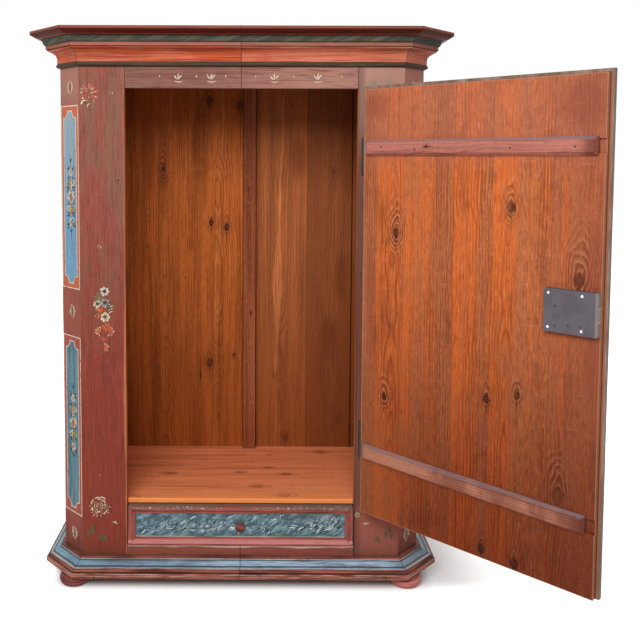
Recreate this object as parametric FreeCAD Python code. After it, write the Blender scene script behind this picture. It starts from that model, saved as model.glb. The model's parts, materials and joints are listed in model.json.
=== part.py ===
import FreeCAD, Part
import math
import os

# A painted one-door wardrobe with canted front corners, built as two case halves that meet in the middle.
# Millimetres. X runs to the right as one faces the front, Y runs to the back, Z runs up.
# The origin is on the floor, in the middle of the case. The door stands open, as it is shown.

# Case in plan
opening_width = 752.0
stile_width = 147.0
cant_width = 77.0
cant_depth = 80.0
body_depth = 520.0
front_board = 28.0
cant_board = 26.0
side_board = 24.0
back_board = 18.0
back_recess = 4.0
back_rebate = 12.0

# Case in height, from the floor up
foot_height = 45.0
base_height = 21.0
slope_height = 33.5
rail_reveal = 31.5
drawer_opening_height = 136.0
floor_thickness = 17.0
door_opening_height = 1356.0
frieze_reveal = 69.0
bead_height = 13.0
cove_height = 46.0
crown_height = 56.0
top_board = 18.0
top_recess = 6.0
bottom_board = 18.0

# Rail joints
tenon_length = 40.0
tenon_thickness = 9.0
tenon_setback = 10.0
tenon_shoulder = 12.0
dowel_radius = 7.0
dowel_reach = 35.0
dowel_play = 0.1
peg_radius = 5.5
peg_length = 46.0
peg_inset = 6.0
peg_drop = 29.0

# Back boards: seams are measured from the middle of the case
left_back_seams = (179.0, 394.0)
right_back_seams = (244.0, 418.0)
back_seam_gap = 0.6
open_seam_gap = 3.0
open_seam_tongue = 7.0
post_width = 46.0
post_thickness = 25.0

# Cornice mouldings: projection from the case and heights of their members
bead_flat = 6.0
cove_foot = 9.0
cove_foot_height = 15.0
cove_projection = 38.5
cove_lip_height = 4.0
cove_bow = 7.5
crown_foot = 43.0
crown_foot_height = 11.5
crown_step = 2.0
ogee_projection = 13.0
ogee_height = 21.0
ogee_bow = 1.4
ovolo_projection = 28.0
ovolo_height = 12.0
ovolo_bow = 3.0
crown_lip = 3.5

# Plinth mouldings
base_projection = 60.0
base_inset = 60.0
nose_projection = 7.0
nose_height = 7.0
nose_bow = 2.0
corner_return = 48.0
slope_projection = 52.0
slope_round = 5.0
slope_round_bow = 1.4
slope_fillet = 4.0
slope_step = 2.0
slope_head = 14.0
slope_head_height = 6.5
slope_bow = 2.5

# Feet, turned, with a round tenon into the base
foot_radius = 52.0
foot_sole_radius = 36.0
foot_neck_radius = 38.0
foot_neck_height = 6.0
foot_belly_height = 21.0
foot_tenon_radius = 15.0
foot_tenon_length = 16.0
front_foot_offset = 28.0
front_foot_setback = 14.0
rear_foot_inset = 10.0
rear_foot_setback = 60.0

# Wardrobe floor and what carries it
floor_setback = 17.0
floor_arris = 4.0
floor_gap = 1.5
cleat_size = 25.0
cheek_thickness = 20.0
runner_width = 40.0

# Drawer
drawer_side_gap = 4.0
drawer_sill_gap = 2.0
drawer_top_gap = 3.0
drawer_slide_gap = 0.3
drawer_setback = 6.0
drawer_front_thickness = 20.0
drawer_side_thickness = 14.0
drawer_side_drop = 9.0
drawer_back_room = 58.0
drawer_bottom_thickness = 10.0
drawer_bottom_rise = 8.0
drawer_groove = 6.0
dovetail_count = 3
dovetail_pin = 10.0
dovetail_flare = 3.5
dovetail_lap = 5.0
moulding_width = 25.0
moulding_thickness = 10.0
moulding_flat = 13.0
moulding_step = 2.0
moulding_edge = 3.0
moulding_bow = 1.8
knob_radius = 16.0
knob_neck_radius = 8.0
knob_neck_length = 9.0
knob_head_length = 14.0
knob_crown = 4.0
knob_flat = 3.0
knob_bow = 0.8
knob_tenon_radius = 6.0
knob_tenon_length = 15.0

# Door, in its closed place
door_open_angle = 136.0
door_gap = 3.0
door_top_gap = 6.0
door_drawer_gap = 4.0
door_inner = 14.0
lip_thickness = 14.0
lip_overlap = 8.0
lip_top_overlap = 5.0
lip_gap = 0.6
door_seams = (197.0, 52.0, -68.0, -240.0)
batten_width = 50.0
batten_height = 15.0
batten_foot = 4.0
batten_chamfer = 9.0
batten_tongue = 7.0
batten_undercut = 3.0
batten_hinge_inset = 10.0
upper_batten_drop = 184.0
upper_batten_inset = 18.0
lower_batten_rise = 199.0
lower_batten_inset = 25.0
lower_batten_tilt = 0.8

# Lift-off hinges
hinge_offset = 17.0
knuckle_radius = 6.2
knuckle_length = 58.0
knuckle_play = 0.7
hinge_pin_radius = 3.5
hinge_pin_length = 42.0
hinge_pin_play = 0.06
hinge_rest_gap = 0.2
hinge_leaf = 2.4
hinge_leaf_inset = 4.0
frame_leaf_depth = 20.0
door_leaf_depth = 38.0
upper_hinge_drop = 210.0
lower_hinge_rise = 230.0

# Box lock on the inside of the door, its bolt and the strike on the stile
lock_width = 143.0
lock_height = 115.0
lock_depth = 18.0
lock_wall = 1.6
lock_corner = 5.0
lock_rise = 751.0
lock_edge = 0.5
bolt_height = 34.0
bolt_thickness = 8.0
bolt_setback = 2.0
bolt_length = 34.0
bolt_tail_height = 14.0
bolt_tail_length = 62.0
bolt_play = 0.25
bolt_travel = 12.0
talon_radius = 4.0
nail_radius = 2.0
nail_play = 0.1
nail_head_radius = 4.2
nail_head_height = 2.2
nail_flat = 1.2
nail_bow = 0.6
nail_length = 27.0
nail_inset = 12.0
nail_edge_inset = 42.0
spring_thickness = 1.2
spring_width = 8.0
spring_foot = 26.0
spring_reach = 40.0
strike_thickness = 2.0
strike_height = 68.0
strike_margin = 4.0
strike_room = 1.2
keyhole_inset = 72.0
keyhole_radius = 4.5
keyhole_slot = 5.0
keyhole_length = 15.0
escutcheon_width = 46.0
escutcheon_height = 74.0
escutcheon_thickness = 1.5

# Places that follow from the sizes
half_opening = opening_width / 2
half_front = half_opening + stile_width
half_body = half_front + cant_width
front_y = -body_depth / 2
back_y = body_depth / 2
back_inner = back_y - back_recess - back_board
front_inner = front_y + front_board
base_top = foot_height + base_height
bottom_top = base_top + bottom_board
slope_top = base_top + slope_height
drawer_sill = slope_top + rail_reveal
floor_underside = drawer_sill + drawer_opening_height
floor_top = floor_underside + floor_thickness
frieze_bottom = floor_top + door_opening_height
bead_bottom = frieze_bottom + frieze_reveal
cove_bottom = bead_bottom + bead_height
crown_bottom = cove_bottom + cove_height
total_height = crown_bottom + crown_height
wall_top = total_height - top_recess - top_board
drawer_bottom_z = drawer_sill + drawer_sill_gap
drawer_top_z = floor_underside - drawer_top_gap
door_bottom = drawer_top_z + door_drawer_gap
door_top = frieze_bottom - door_top_gap
half_door = half_opening - door_gap
lip_back = front_y - lip_gap
lip_front = lip_back - lip_thickness
door_back = front_y + door_inner
hinge_x = half_opening + hinge_offset
hinge_y = lip_back - lip_thickness / 2
bolt_z = door_bottom + lock_rise
bolt_y = door_back + bolt_setback

SIDES = (("left", -1), ("right", 1))
cut_spare = 8.0
pick_tolerance = 0.1
nodes = {}


def vec(x, y, z):
    return FreeCAD.Vector(x, y, z)


cross_axis = vec(1, 0, 0)
depth_axis = vec(0, 1, 0)
up_axis = vec(0, 0, 1)


def block(x_ends, y_ends, z_ends):
    """A square-edged board between three pairs of limits, given in any order."""
    low = [min(ends) for ends in (x_ends, y_ends, z_ends)]
    high = [max(ends) for ends in (x_ends, y_ends, z_ends)]
    return Part.makeBox(high[0] - low[0], high[1] - low[1], high[2] - low[2], vec(*low))


def prism(outline, bottom, top):
    """An upright prism on a closed outline in plan."""
    corners = [vec(x, y, bottom) for x, y in outline]
    face = Part.Face(Part.makePolygon(corners + corners[:1]))
    return face.extrude(vec(0, 0, top - bottom))


def bow(start, end, rise):
    """An arc step from start to end; a positive rise bows it to the left of the way it runs."""
    across = end[0] - start[0]
    up = end[1] - start[1]
    chord = math.hypot(across, up)
    middle_out = (start[0] + end[0]) / 2 - up / chord * rise
    middle_up = (start[1] + end[1]) / 2 + across / chord * rise
    return (middle_out, middle_up, end[0], end[1])


def profile_face(steps, place):
    """A face bounded by lines and arcs; place puts a point (out, up) of the profile into space."""
    edges = []
    here = place(*steps[0])
    for step in steps[1:] + steps[:1]:
        there = place(*step[-2:])
        if len(step) == 4:
            edges.append(Part.Arc(here, place(*step[:2]), there).toShape())
        else:
            edges.append(Part.LineSegment(here, there).toShape())
        here = there
    return Part.Face(Part.Wire(edges))


def turned(steps, place, centre, axis):
    """A solid of revolution of a profile about an axis."""
    return Part.Solid(profile_face(steps, place).revolve(centre, axis, 360))


def corner_point(corner, first_normal, first_offset, second_normal, second_offset):
    """Where two walls meet when each is shifted outwards from a plan corner by its own offset."""
    cross = first_normal[0] * second_normal[1] - first_normal[1] * second_normal[0]
    x = (first_offset * second_normal[1] - second_offset * first_normal[1]) / cross
    y = (second_offset * first_normal[0] - first_offset * second_normal[0]) / cross
    return (corner[0] + x, corner[1] + y)


def mitre(first_normal, second_normal):
    """The plan direction of the mitre between two walls, one long for each unit of projection."""
    return corner_point((0, 0), first_normal, 1, second_normal, 1)


def along(point, direction, distance):
    return (point[0] + direction[0] * distance, point[1] + direction[1] * distance)


def moulding_run(steps, start, end, normal, start_cut, end_cut):
    """A length of moulding on a wall: its profile drawn along the wall and cut on a plan line at each end."""
    outs = [step[-2] for step in steps]
    far = max(outs) + cut_spare
    near = cut_spare - min(outs)
    length = math.hypot(end[0] - start[0], end[1] - start[1])
    way = ((end[0] - start[0]) / length, (end[1] - start[1]) / length)
    spare = 2 * (far + near)
    first = along(start, way, -spare)
    face = profile_face(steps, lambda out, up: vec(*along(first, normal, out), up))
    bar = face.extrude(vec(way[0], way[1], 0) * (length + 2 * spare))
    fence = [along(start, start_cut, far), along(end, end_cut, far)]
    fence += [along(end, end_cut, -near), along(start, start_cut, -near)]
    ups = [step[-1] for step in steps]
    return bar.common(prism(fence, min(ups) - cut_spare, max(ups) + cut_spare)).Solids[0]


def case_plan(side):
    """Outer corners and outward normals of one case half, from the middle of the front to the back."""
    corners = [
        (0.0, front_y),
        (side * half_front, front_y),
        (side * half_body, front_y + cant_depth),
        (side * half_body, back_y),
    ]
    cant_length = math.hypot(cant_width, cant_depth)
    cant_normal = (side * cant_depth / cant_length, -cant_width / cant_length)
    return corners, [(0.0, -1.0), cant_normal, (float(side), 0.0)]


def round_the_case(steps, side):
    """Three mitred lengths of one moulding: along the front, over the canted corner and along the side."""
    corners, normals = case_plan(side)
    cuts = [normals[0], mitre(normals[0], normals[1]), mitre(normals[1], normals[2]), normals[2]]
    lengths = []
    for i in range(3):
        lengths.append(moulding_run(steps, corners[i], corners[i + 1], normals[i], cuts[i], cuts[i + 1]))
    return lengths


def rod(start, axis, length, radius):
    return Part.makeCylinder(radius, length, start, axis)


def depth_edges(shape):
    """The straight edges of a plate that run from front to back."""
    chosen = []
    for edge in shape.Edges:
        if edge.BoundBox.YLength > edge.BoundBox.DiagonalLength - pick_tolerance:
            chosen.append(edge)
    return chosen


# Case halves: front stile, canted corner board and side board, mitred to each other
def rail_tenon(side, bottom, top):
    """The tongue at the outer end of a front rail."""
    y_start = front_y + tenon_setback
    x_ends = (side * half_opening, side * (half_opening + tenon_length))
    z_ends = (bottom + tenon_shoulder, top - tenon_shoulder)
    return block(x_ends, (y_start, y_start + tenon_thickness), z_ends)


def inner_corners(side, gap):
    """Inner corners of the case walls in plan, set in from the boards' inner faces by a gap."""
    corners, normals = case_plan(side)
    front = corner_point(corners[1], normals[0], -front_board - gap, normals[1], -cant_board - gap)
    back = corner_point(corners[2], normals[1], -cant_board - gap, normals[2], -side_board - gap)
    return front, back


def leaf_in_stile(split):
    """The driven leaf of a hinge's lower half, in its slot in the stile."""
    x_ends = (hinge_x - hinge_leaf / 2, hinge_x + hinge_leaf / 2)
    z_ends = (split - knuckle_length + hinge_leaf_inset, split - hinge_leaf_inset)
    return block(x_ends, (hinge_y, front_y + frame_leaf_depth), z_ends)


def leaf_in_door(split):
    """The driven leaf of a hinge's upper half, in its slot in the door's lipped edge."""
    y_ends = (hinge_y - hinge_leaf / 2, hinge_y + hinge_leaf / 2)
    z_ends = (split + hinge_leaf_inset, split + knuckle_length - hinge_leaf_inset)
    return block((hinge_x - door_leaf_depth, hinge_x), y_ends, z_ends)


hinge_splits = {"upper": door_top - upper_hinge_drop, "lower": door_bottom + lower_hinge_rise}
strike_y = (bolt_y - strike_margin, bolt_y + bolt_thickness + strike_room)
strike_z = (bolt_z - strike_height / 2, bolt_z + strike_height / 2)
strike_recess = block((-half_opening - strike_thickness, -half_opening), strike_y, strike_z)
bolt_mortise = block(
    (-half_opening - bolt_travel - strike_room, -half_opening),
    (bolt_y - bolt_play * 2, bolt_y + bolt_thickness + bolt_play * 2),
    (bolt_z - bolt_height / 2 - strike_room, bolt_z + bolt_height / 2 + strike_room),
)
peg_start = vec(half_opening + peg_inset + peg_radius, front_y, floor_underside - peg_drop)
peg = rod(peg_start, depth_axis, peg_length, peg_radius)
peg_hole = rod(peg_start, depth_axis, peg_length, peg_radius + dowel_play)

for name, side in SIDES:
    corners, normals = case_plan(side)
    front_corner, back_corner = inner_corners(side, 0)
    inner_x = side * (half_body - side_board)
    edge_x = side * half_opening
    stile_plan = [(edge_x, front_y), corners[1], front_corner, (edge_x, front_inner)]
    stile = prism(stile_plan, base_top, wall_top)
    frieze_tenon = rail_tenon(side, frieze_bottom, wall_top)
    lower_tenon = rail_tenon(side, base_top, drawer_sill)
    stile = stile.cut(frieze_tenon).cut(lower_tenon)
    if side < 0:
        stile = stile.cut(strike_recess).cut(bolt_mortise)
    else:
        stile = stile.cut(peg_hole)
        for split in hinge_splits.values():
            stile = stile.cut(leaf_in_stile(split))
    nodes["stile_" + name] = stile
    cant_plan = [corners[1], corners[2], back_corner, front_corner]
    nodes["cant_" + name] = prism(cant_plan, base_top, wall_top)
    side_plan = [corners[2], corners[3], (inner_x, back_y), back_corner]
    rebate = block((inner_x, inner_x + side * back_rebate), (back_inner, back_y), (base_top, wall_top))
    nodes["side_" + name] = prism(side_plan, base_top, wall_top).cut(rebate)

    # Front rails, tenoned into the stiles and dowelled to the other half
    for rail_name, z_ends, tenon in (
        ("frieze_rail_", (frieze_bottom, wall_top), frieze_tenon),
        ("lower_rail_", (base_top, drawer_sill), lower_tenon),
    ):
        rail = block((0, side * half_opening), (front_y, front_inner), z_ends).fuse(tenon).removeSplitter()
        hole_start = vec(0, front_y + front_board / 2, sum(z_ends) / 2)
        hole = rod(hole_start, cross_axis * side, dowel_reach + dowel_play, dowel_radius + dowel_play)
        nodes[rail_name + name] = rail.cut(hole)

    # Bottom and top boards
    bottom_plan = [(0, front_inner), front_corner, back_corner, (inner_x, back_inner), (0, back_inner)]
    nodes["bottom_board_" + name] = prism(bottom_plan, base_top, bottom_top)
    nodes["top_board_" + name] = prism(corners + [(0, back_y)], wall_top, wall_top + top_board)

dowels = []
for rail_middle in ((frieze_bottom + wall_top) / 2, (base_top + drawer_sill) / 2):
    dowel_start = vec(-dowel_reach, front_y + front_board / 2, rail_middle)
    dowels.append(rod(dowel_start, cross_axis, 2 * dowel_reach, dowel_radius))
nodes["joining_dowels"] = Part.makeCompound(dowels)
nodes["stile_peg"] = peg

# Back: upright boards in the rebates of the sides, and the post that covers the middle joint.
# One seam has shrunk open on the inside, and a tongue closes it behind.
back_y_ends = (back_inner, back_inner + back_board)
back_edge = half_body - side_board + back_rebate
for name, side, seams in (("left", -1, left_back_seams), ("right", 1, right_back_seams)):
    edges = (0.0,) + seams + (back_edge,)
    boards = []
    for i in range(len(edges) - 1):
        open_seam = side > 0 and i == len(seams)
        start = edges[i] + (open_seam_gap if open_seam else back_seam_gap if i else 0.0)
        x_ends = (side * start, side * edges[i + 1])
        board = block(x_ends, back_y_ends, (base_top, wall_top))
        if open_seam:
            tongue_x = (edges[i] + back_seam_gap, edges[i] + open_seam_gap)
            tongue_y = (back_y_ends[1] - open_seam_tongue, back_y_ends[1])
            board = board.fuse(block(tongue_x, tongue_y, (base_top, wall_top))).removeSplitter()
        boards.append(board)
    nodes["back_boards_" + name] = Part.makeCompound(boards)
post_y = (back_inner - post_thickness, back_inner)
nodes["back_post"] = block((0, post_width), post_y, (bottom_top, wall_top))

# Cornice: crown over a broad cove over a small bead, each mitred round the canted corner
bead_steps = [(0, bead_bottom), (bead_flat, bead_bottom)]
bead_steps.append(bow((bead_flat, bead_bottom), (bead_flat, cove_bottom), -bead_height / 2))
bead_steps.append((0, cove_bottom))
cove_start = (cove_foot, cove_bottom + cove_foot_height)
cove_end = (cove_projection, crown_bottom - cove_lip_height)
cove_steps = [(0, cove_bottom), (cove_foot, cove_bottom), cove_start, bow(cove_start, cove_end, cove_bow)]
cove_steps += [(cove_projection, crown_bottom), (0, crown_bottom)]
ogee_start = (crown_foot + crown_step, crown_bottom + crown_foot_height)
ogee_end = (ogee_start[0] + ogee_projection, ogee_start[1] + ogee_height)
ogee_middle = ((ogee_start[0] + ogee_end[0]) / 2, (ogee_start[1] + ogee_end[1]) / 2)
ovolo_end = (ogee_end[0] + ovolo_projection, ogee_end[1] + ovolo_height)
crown_steps = [(0, crown_bottom), (crown_foot, crown_bottom), (crown_foot, ogee_start[1]), ogee_start]
crown_steps += [bow(ogee_start, ogee_middle, -ogee_bow), bow(ogee_middle, ogee_end, ogee_bow)]
crown_steps += [bow(ogee_end, ovolo_end, -ovolo_bow), (ovolo_end[0] + crown_lip, ovolo_end[1])]
crown_steps += [(ovolo_end[0] + crown_lip, total_height), (0, total_height)]

# Plinth: a sloping moulding on the case, standing on a base frame with a rounded nose
round_end = (slope_projection - slope_round, base_top + slope_round)
slope_start = (round_end[0] - slope_step, round_end[1] + slope_fillet)
slope_end = (slope_head, slope_top - slope_head_height)
slope_steps = [(0, base_top), (slope_projection, base_top)]
slope_steps.append(bow((slope_projection, base_top), round_end, -slope_round_bow))
slope_steps.append((round_end[0], slope_start[1]))
slope_steps += [slope_start, bow(slope_start, slope_end, slope_bow), (slope_head, slope_top), (0, slope_top)]
nose_low = (base_projection, foot_height + nose_height)
nose_high = (base_projection, base_top - nose_height)
nose_under = (base_projection - nose_projection, foot_height)
nose_over = (base_projection - nose_projection, base_top)
base_steps = [(-base_inset, foot_height), nose_under, bow(nose_under, nose_low, -nose_bow), nose_high]
base_steps += [bow(nose_high, nose_over, -nose_bow), (-base_inset, base_top)]

foot_steps = [(0, 0), (foot_sole_radius, 0)]
foot_steps.append((foot_radius, foot_belly_height, foot_neck_radius, foot_height - foot_neck_height))
foot_steps += [(foot_neck_radius, foot_height), (foot_tenon_radius, foot_height)]
foot_steps += [(foot_tenon_radius, foot_height + foot_tenon_length), (0, foot_height + foot_tenon_length)]


def bun_foot(x, y):
    """A turned foot with its tenon."""
    return turned(foot_steps, lambda out, up: vec(x + out, y, up), vec(x, y, 0), up_axis)


def foot_hole(x, y):
    """The round mortise for a foot's tenon."""
    hole_length = foot_tenon_length + dowel_play
    return rod(vec(x, y, foot_height), up_axis, hole_length, foot_tenon_radius + dowel_play)


for name, side in SIDES:
    for moulding, steps in (
        ("crown_", crown_steps),
        ("cove_", cove_steps),
        ("bead_", bead_steps),
        ("plinth_slope_", slope_steps),
    ):
        nodes[moulding + name] = Part.makeCompound(round_the_case(steps, side))

    # The base frame: a corner block over each front foot, and strips between
    corners, normals = case_plan(side)
    front_cut = mitre(normals[0], normals[1])
    back_cut = mitre(normals[1], normals[2])
    front_joint = (corners[1][0] - side * corner_return, front_y)
    side_joint = (corners[2][0], corners[2][1] + corner_return)
    corner_block = moulding_run(base_steps, front_joint, corners[1], normals[0], normals[0], front_cut)
    over_cant = moulding_run(base_steps, corners[1], corners[2], normals[1], front_cut, back_cut)
    side_end = moulding_run(base_steps, corners[2], side_joint, normals[2], back_cut, normals[2])
    corner_block = corner_block.fuse(over_cant).fuse(side_end).removeSplitter()
    front_strip = moulding_run(base_steps, corners[0], front_joint, normals[0], normals[0], normals[0])
    side_strip = moulding_run(base_steps, side_joint, corners[3], normals[2], normals[2], normals[2])
    front_foot = (side * (half_front + front_foot_offset), front_y + front_foot_setback)
    back_foot = (side * (half_body - rear_foot_inset), back_y - rear_foot_setback)
    nodes["corner_block_" + name] = corner_block.cut(foot_hole(*front_foot))
    nodes["base_strips_" + name] = Part.makeCompound([front_strip, side_strip.cut(foot_hole(*back_foot))])
    nodes["foot_front_" + name] = bun_foot(*front_foot)
    nodes["foot_back_" + name] = bun_foot(*back_foot)

# Wardrobe floor: a loose board round the stiles and the post, on the drawer cheeks and two cleats
floor_plan = []
for side in (-1, 1):
    front_corner, back_corner = inner_corners(side, floor_gap)
    half_plan = [
        (side * (half_opening - floor_gap), front_y + floor_setback),
        (side * (half_opening - floor_gap), front_inner + floor_gap),
        front_corner,
        back_corner,
        (back_corner[0], back_inner - floor_gap),
    ]
    floor_plan += half_plan if side > 0 else half_plan[::-1]
post_notch = block(
    (-floor_gap, post_width + floor_gap),
    (post_y[0] - floor_gap, back_inner),
    (floor_underside, floor_top),
)
floor_board = prism(floor_plan, floor_underside, floor_top).cut(post_notch)
floor_front = front_y + floor_setback
front_edges = []
for edge in floor_board.Edges:
    if edge.BoundBox.YMax < floor_front + pick_tolerance and edge.BoundBox.ZLength < pick_tolerance:
        front_edges.append(edge)
nodes["floor_board"] = floor_board.makeFillet(floor_arris, front_edges)
cleats = []
runners = []
runner_top = drawer_bottom_z - drawer_slide_gap
for name, side in SIDES:
    inner_x = side * (half_body - side_board)
    cleat_start = inner_corners(side, 0)[1][1] + cleat_size
    cleat_z = (floor_underside - cleat_size, floor_underside)
    cleats.append(block((inner_x, inner_x - side * cleat_size), (cleat_start, back_inner), cleat_z))
    cheek_x = (side * half_opening, side * (half_opening + cheek_thickness))
    cheek = block(cheek_x, (front_inner, back_inner), (bottom_top, floor_underside))
    nodes["drawer_cheek_" + name] = cheek.cut(peg_hole) if side > 0 else cheek
    runner_x = (side * (half_opening - runner_width), side * half_opening)
    runners.append(block(runner_x, (front_inner, back_inner), (bottom_top, runner_top)))
nodes["floor_cleats"] = Part.makeCompound(cleats)
nodes["drawer_runners"] = Part.makeCompound(runners)

# Drawer: a dovetailed box with a mitred moulding planted on its front
half_drawer = half_opening - drawer_side_gap
drawer_face = front_y + drawer_setback
drawer_inner = drawer_face + drawer_front_thickness
drawer_end = back_inner - drawer_back_room
drawer_back_face = drawer_end - drawer_side_thickness
drawer_side_top = drawer_top_z - drawer_side_drop
half_inside = half_drawer - drawer_side_thickness
bottom_low = drawer_bottom_z + drawer_bottom_rise
drawer_bottom = block(
    (-half_inside - drawer_groove, half_inside + drawer_groove),
    (drawer_inner - drawer_groove, drawer_back_face + drawer_groove),
    (bottom_low, bottom_low + drawer_bottom_thickness),
)


def dovetails(x_ends, root, tip):
    """A row of tails that widen from the root to the tip, through the thickness of a drawer side."""
    pitch = (drawer_side_top - drawer_bottom_z) / dovetail_count
    tails = []
    for i in range(dovetail_count):
        middle = drawer_bottom_z + (i + 0.5) * pitch
        tip_half = (pitch - dovetail_pin) / 2
        root_half = tip_half - dovetail_flare
        outline = [(root, middle - root_half), (tip, middle - tip_half), (tip, middle + tip_half)]
        outline.append((root, middle + root_half))
        corners = [vec(min(x_ends), y, z) for y, z in outline]
        face = Part.Face(Part.makePolygon(corners + corners[:1]))
        tails.append(face.extrude(cross_axis * (max(x_ends) - min(x_ends))))
    return tails


front_z = (drawer_bottom_z, drawer_top_z)
drawer_front = block((-half_drawer, half_drawer), (drawer_face, drawer_inner), front_z)
back_z = (drawer_bottom_z, drawer_side_top)
drawer_back = block((-half_drawer, half_drawer), (drawer_back_face, drawer_end), back_z)
for name, side in SIDES:
    side_x = (side * half_inside, side * half_drawer)
    drawer_side = block(side_x, (drawer_inner, drawer_back_face), (drawer_bottom_z, drawer_side_top))
    front_tails = dovetails(side_x, drawer_inner, drawer_face + dovetail_lap)
    back_tails = dovetails(side_x, drawer_back_face, drawer_end)
    drawer_front = drawer_front.cut(Part.makeCompound(front_tails))
    drawer_back = drawer_back.cut(Part.makeCompound(back_tails))
    drawer_side = drawer_side.multiFuse(front_tails + back_tails).removeSplitter()
    nodes["drawer_side_" + name] = drawer_side.cut(drawer_bottom)
knob_z = (drawer_bottom_z + drawer_top_z) / 2
knob_centre = vec(0, drawer_face, knob_z)
knob_hole = rod(knob_centre, depth_axis, knob_tenon_length + dowel_play, knob_tenon_radius + dowel_play)
nodes["drawer_front"] = drawer_front.cut(drawer_bottom).cut(knob_hole)
nodes["drawer_back"] = drawer_back.cut(drawer_bottom)
nodes["drawer_bottom"] = drawer_bottom

edge_start = (moulding_flat + moulding_step, moulding_thickness - moulding_step)
edge_end = (moulding_width, moulding_edge)
frame_steps = [(0, 0), (moulding_width, 0), edge_end, bow(edge_end, edge_start, moulding_bow)]
frame_steps += [(moulding_flat, edge_start[1]), (moulding_flat, moulding_thickness), (0, moulding_thickness)]
half_frame_height = (drawer_top_z - drawer_bottom_z) / 2
frame_corners = [(x * half_drawer, y * half_frame_height) for x, y in ((-1, -1), (1, -1), (1, 1), (-1, 1))]
frame_normals = [(0, 1), (-1, 0), (0, -1), (1, 0)]
frame_lengths = []
for i in range(4):
    start_cut = mitre(frame_normals[i - 1], frame_normals[i])
    end_cut = mitre(frame_normals[i], frame_normals[(i + 1) % 4])
    ends = (frame_corners[i], frame_corners[(i + 1) % 4])
    length = moulding_run(frame_steps, *ends, frame_normals[i], start_cut, end_cut)
    length.rotate(vec(0, 0, 0), cross_axis, 90)
    length.translate(knob_centre)
    frame_lengths.append(length)
nodes["drawer_moulding"] = Part.makeCompound(frame_lengths)

knob_face = knob_neck_length + knob_head_length
knob_rim = (knob_radius, knob_neck_length + knob_head_length / 2)
knob_shoulder = (knob_neck_radius + knob_crown, knob_face)
knob_steps = [(0, -knob_tenon_length), (knob_tenon_radius, -knob_tenon_length), (knob_tenon_radius, 0)]
knob_steps += [(knob_neck_radius, 0), (knob_neck_radius, knob_neck_length)]
knob_steps.append((*knob_rim, *knob_shoulder))
knob_tip = knob_face + knob_crown
knob_steps += [bow(knob_shoulder, (knob_flat, knob_tip), -knob_bow), (0, knob_tip)]


def knob_place(out, up):
    return vec(out, drawer_face - up, knob_z)


nodes["drawer_knob"] = turned(knob_steps, knob_place, knob_centre, depth_axis)

# Door, made in its closed place: upright boards with a rebated edge, so that a lip laps the frame
lip_hinge_x = hinge_x - knuckle_radius - knuckle_play
lip_ends = (-half_opening - lip_overlap, lip_hinge_x)
panel = block((-half_door, half_door), (lip_back, door_back), (door_bottom, door_top))
lip = block(lip_ends, (lip_front, lip_back), (door_bottom, frieze_bottom + lip_top_overlap))
door_slab = panel.fuse(lip).removeSplitter()


def batten_ends(free_inset):
    """How far a batten reaches across the door, from its free end to the hinge side."""
    return (-half_door + free_inset, half_door - batten_hinge_inset)


def tilted(shape, middle, tilt):
    """A batten or its groove, turned a little in the plane of the door about its middle."""
    shape.rotate(vec(0, door_back, middle), depth_axis, -tilt)
    return shape


def batten(middle, free_inset, tilt):
    """A batten whose dovetailed tongue slides in a groove across the boards; its edges are chamfered."""
    x_ends = batten_ends(free_inset)
    sections = []
    for height, inset in ((0.0, 0.0), (batten_foot, 0.0), (batten_height, batten_chamfer)):
        z_half = batten_width / 2 - inset
        corners = []
        for x, z in ((x_ends[0] + inset, -z_half), (x_ends[1] - inset, -z_half)):
            corners.append(vec(x, door_back + height, middle + z))
        for x, z in ((x_ends[1] - inset, z_half), (x_ends[0] + inset, z_half)):
            corners.append(vec(x, door_back + height, middle + z))
        sections.append(Part.makePolygon(corners + corners[:1]))
    body = Part.makeLoft(sections, True, True).fuse(batten_tongue_bar(middle, x_ends)).removeSplitter()
    return tilted(body, middle, tilt)


def batten_tongue_bar(middle, x_ends):
    """The dovetailed strip that a batten's tongue takes up in the boards."""
    mouth = batten_width / 2 - 2 * batten_undercut
    floor = mouth + batten_undercut
    outline = [(door_back, -mouth), (door_back - batten_tongue, -floor), (door_back - batten_tongue, floor)]
    outline.append((door_back, mouth))
    corners = [vec(min(x_ends), y, middle + z) for y, z in outline]
    face = Part.Face(Part.makePolygon(corners + corners[:1]))
    return face.extrude(cross_axis * (max(x_ends) - min(x_ends)))


batten_places = {
    "upper": (door_top - upper_batten_drop, upper_batten_inset, 0.0),
    "lower": (door_bottom + lower_batten_rise, lower_batten_inset, lower_batten_tilt),
}
battens = {}
for name, (middle, free_inset, tilt) in batten_places.items():
    battens[name] = batten(middle, free_inset, tilt)
    groove = batten_tongue_bar(middle, (-half_opening, half_opening))
    door_slab = door_slab.cut(tilted(groove, middle, tilt))
for split in hinge_splits.values():
    door_slab = door_slab.cut(leaf_in_door(split))

# Lock: an iron box nailed to the inside of the door, with its bolt, spring and the keyhole in front
lock_x = (-half_door + lock_edge, -half_door + lock_edge + lock_width)
lock_z = (bolt_z - lock_height / 2, bolt_z + lock_height / 2)
lock_face = door_back + lock_depth
lock_box = block(lock_x, (door_back, lock_face), lock_z)
lock_box = lock_box.makeFillet(lock_corner, depth_edges(lock_box))
hollow_x = (lock_x[0] + lock_wall, lock_x[1] - lock_wall)
hollow_z = (lock_z[0] + lock_wall, lock_z[1] - lock_wall)
lock_box = lock_box.cut(block(hollow_x, (door_back, lock_face - lock_wall), hollow_z))
bolt_slot = block(
    (lock_x[0], hollow_x[0]),
    (bolt_y - bolt_play, bolt_y + bolt_thickness + bolt_play),
    (bolt_z - bolt_height / 2 - bolt_play, bolt_z + bolt_height / 2 + bolt_play),
)
lock_box = lock_box.cut(bolt_slot)
bolt_y_ends = (bolt_y, bolt_y + bolt_thickness)
bolt_head_z = (bolt_z - bolt_height / 2, bolt_z + bolt_height / 2)
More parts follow.
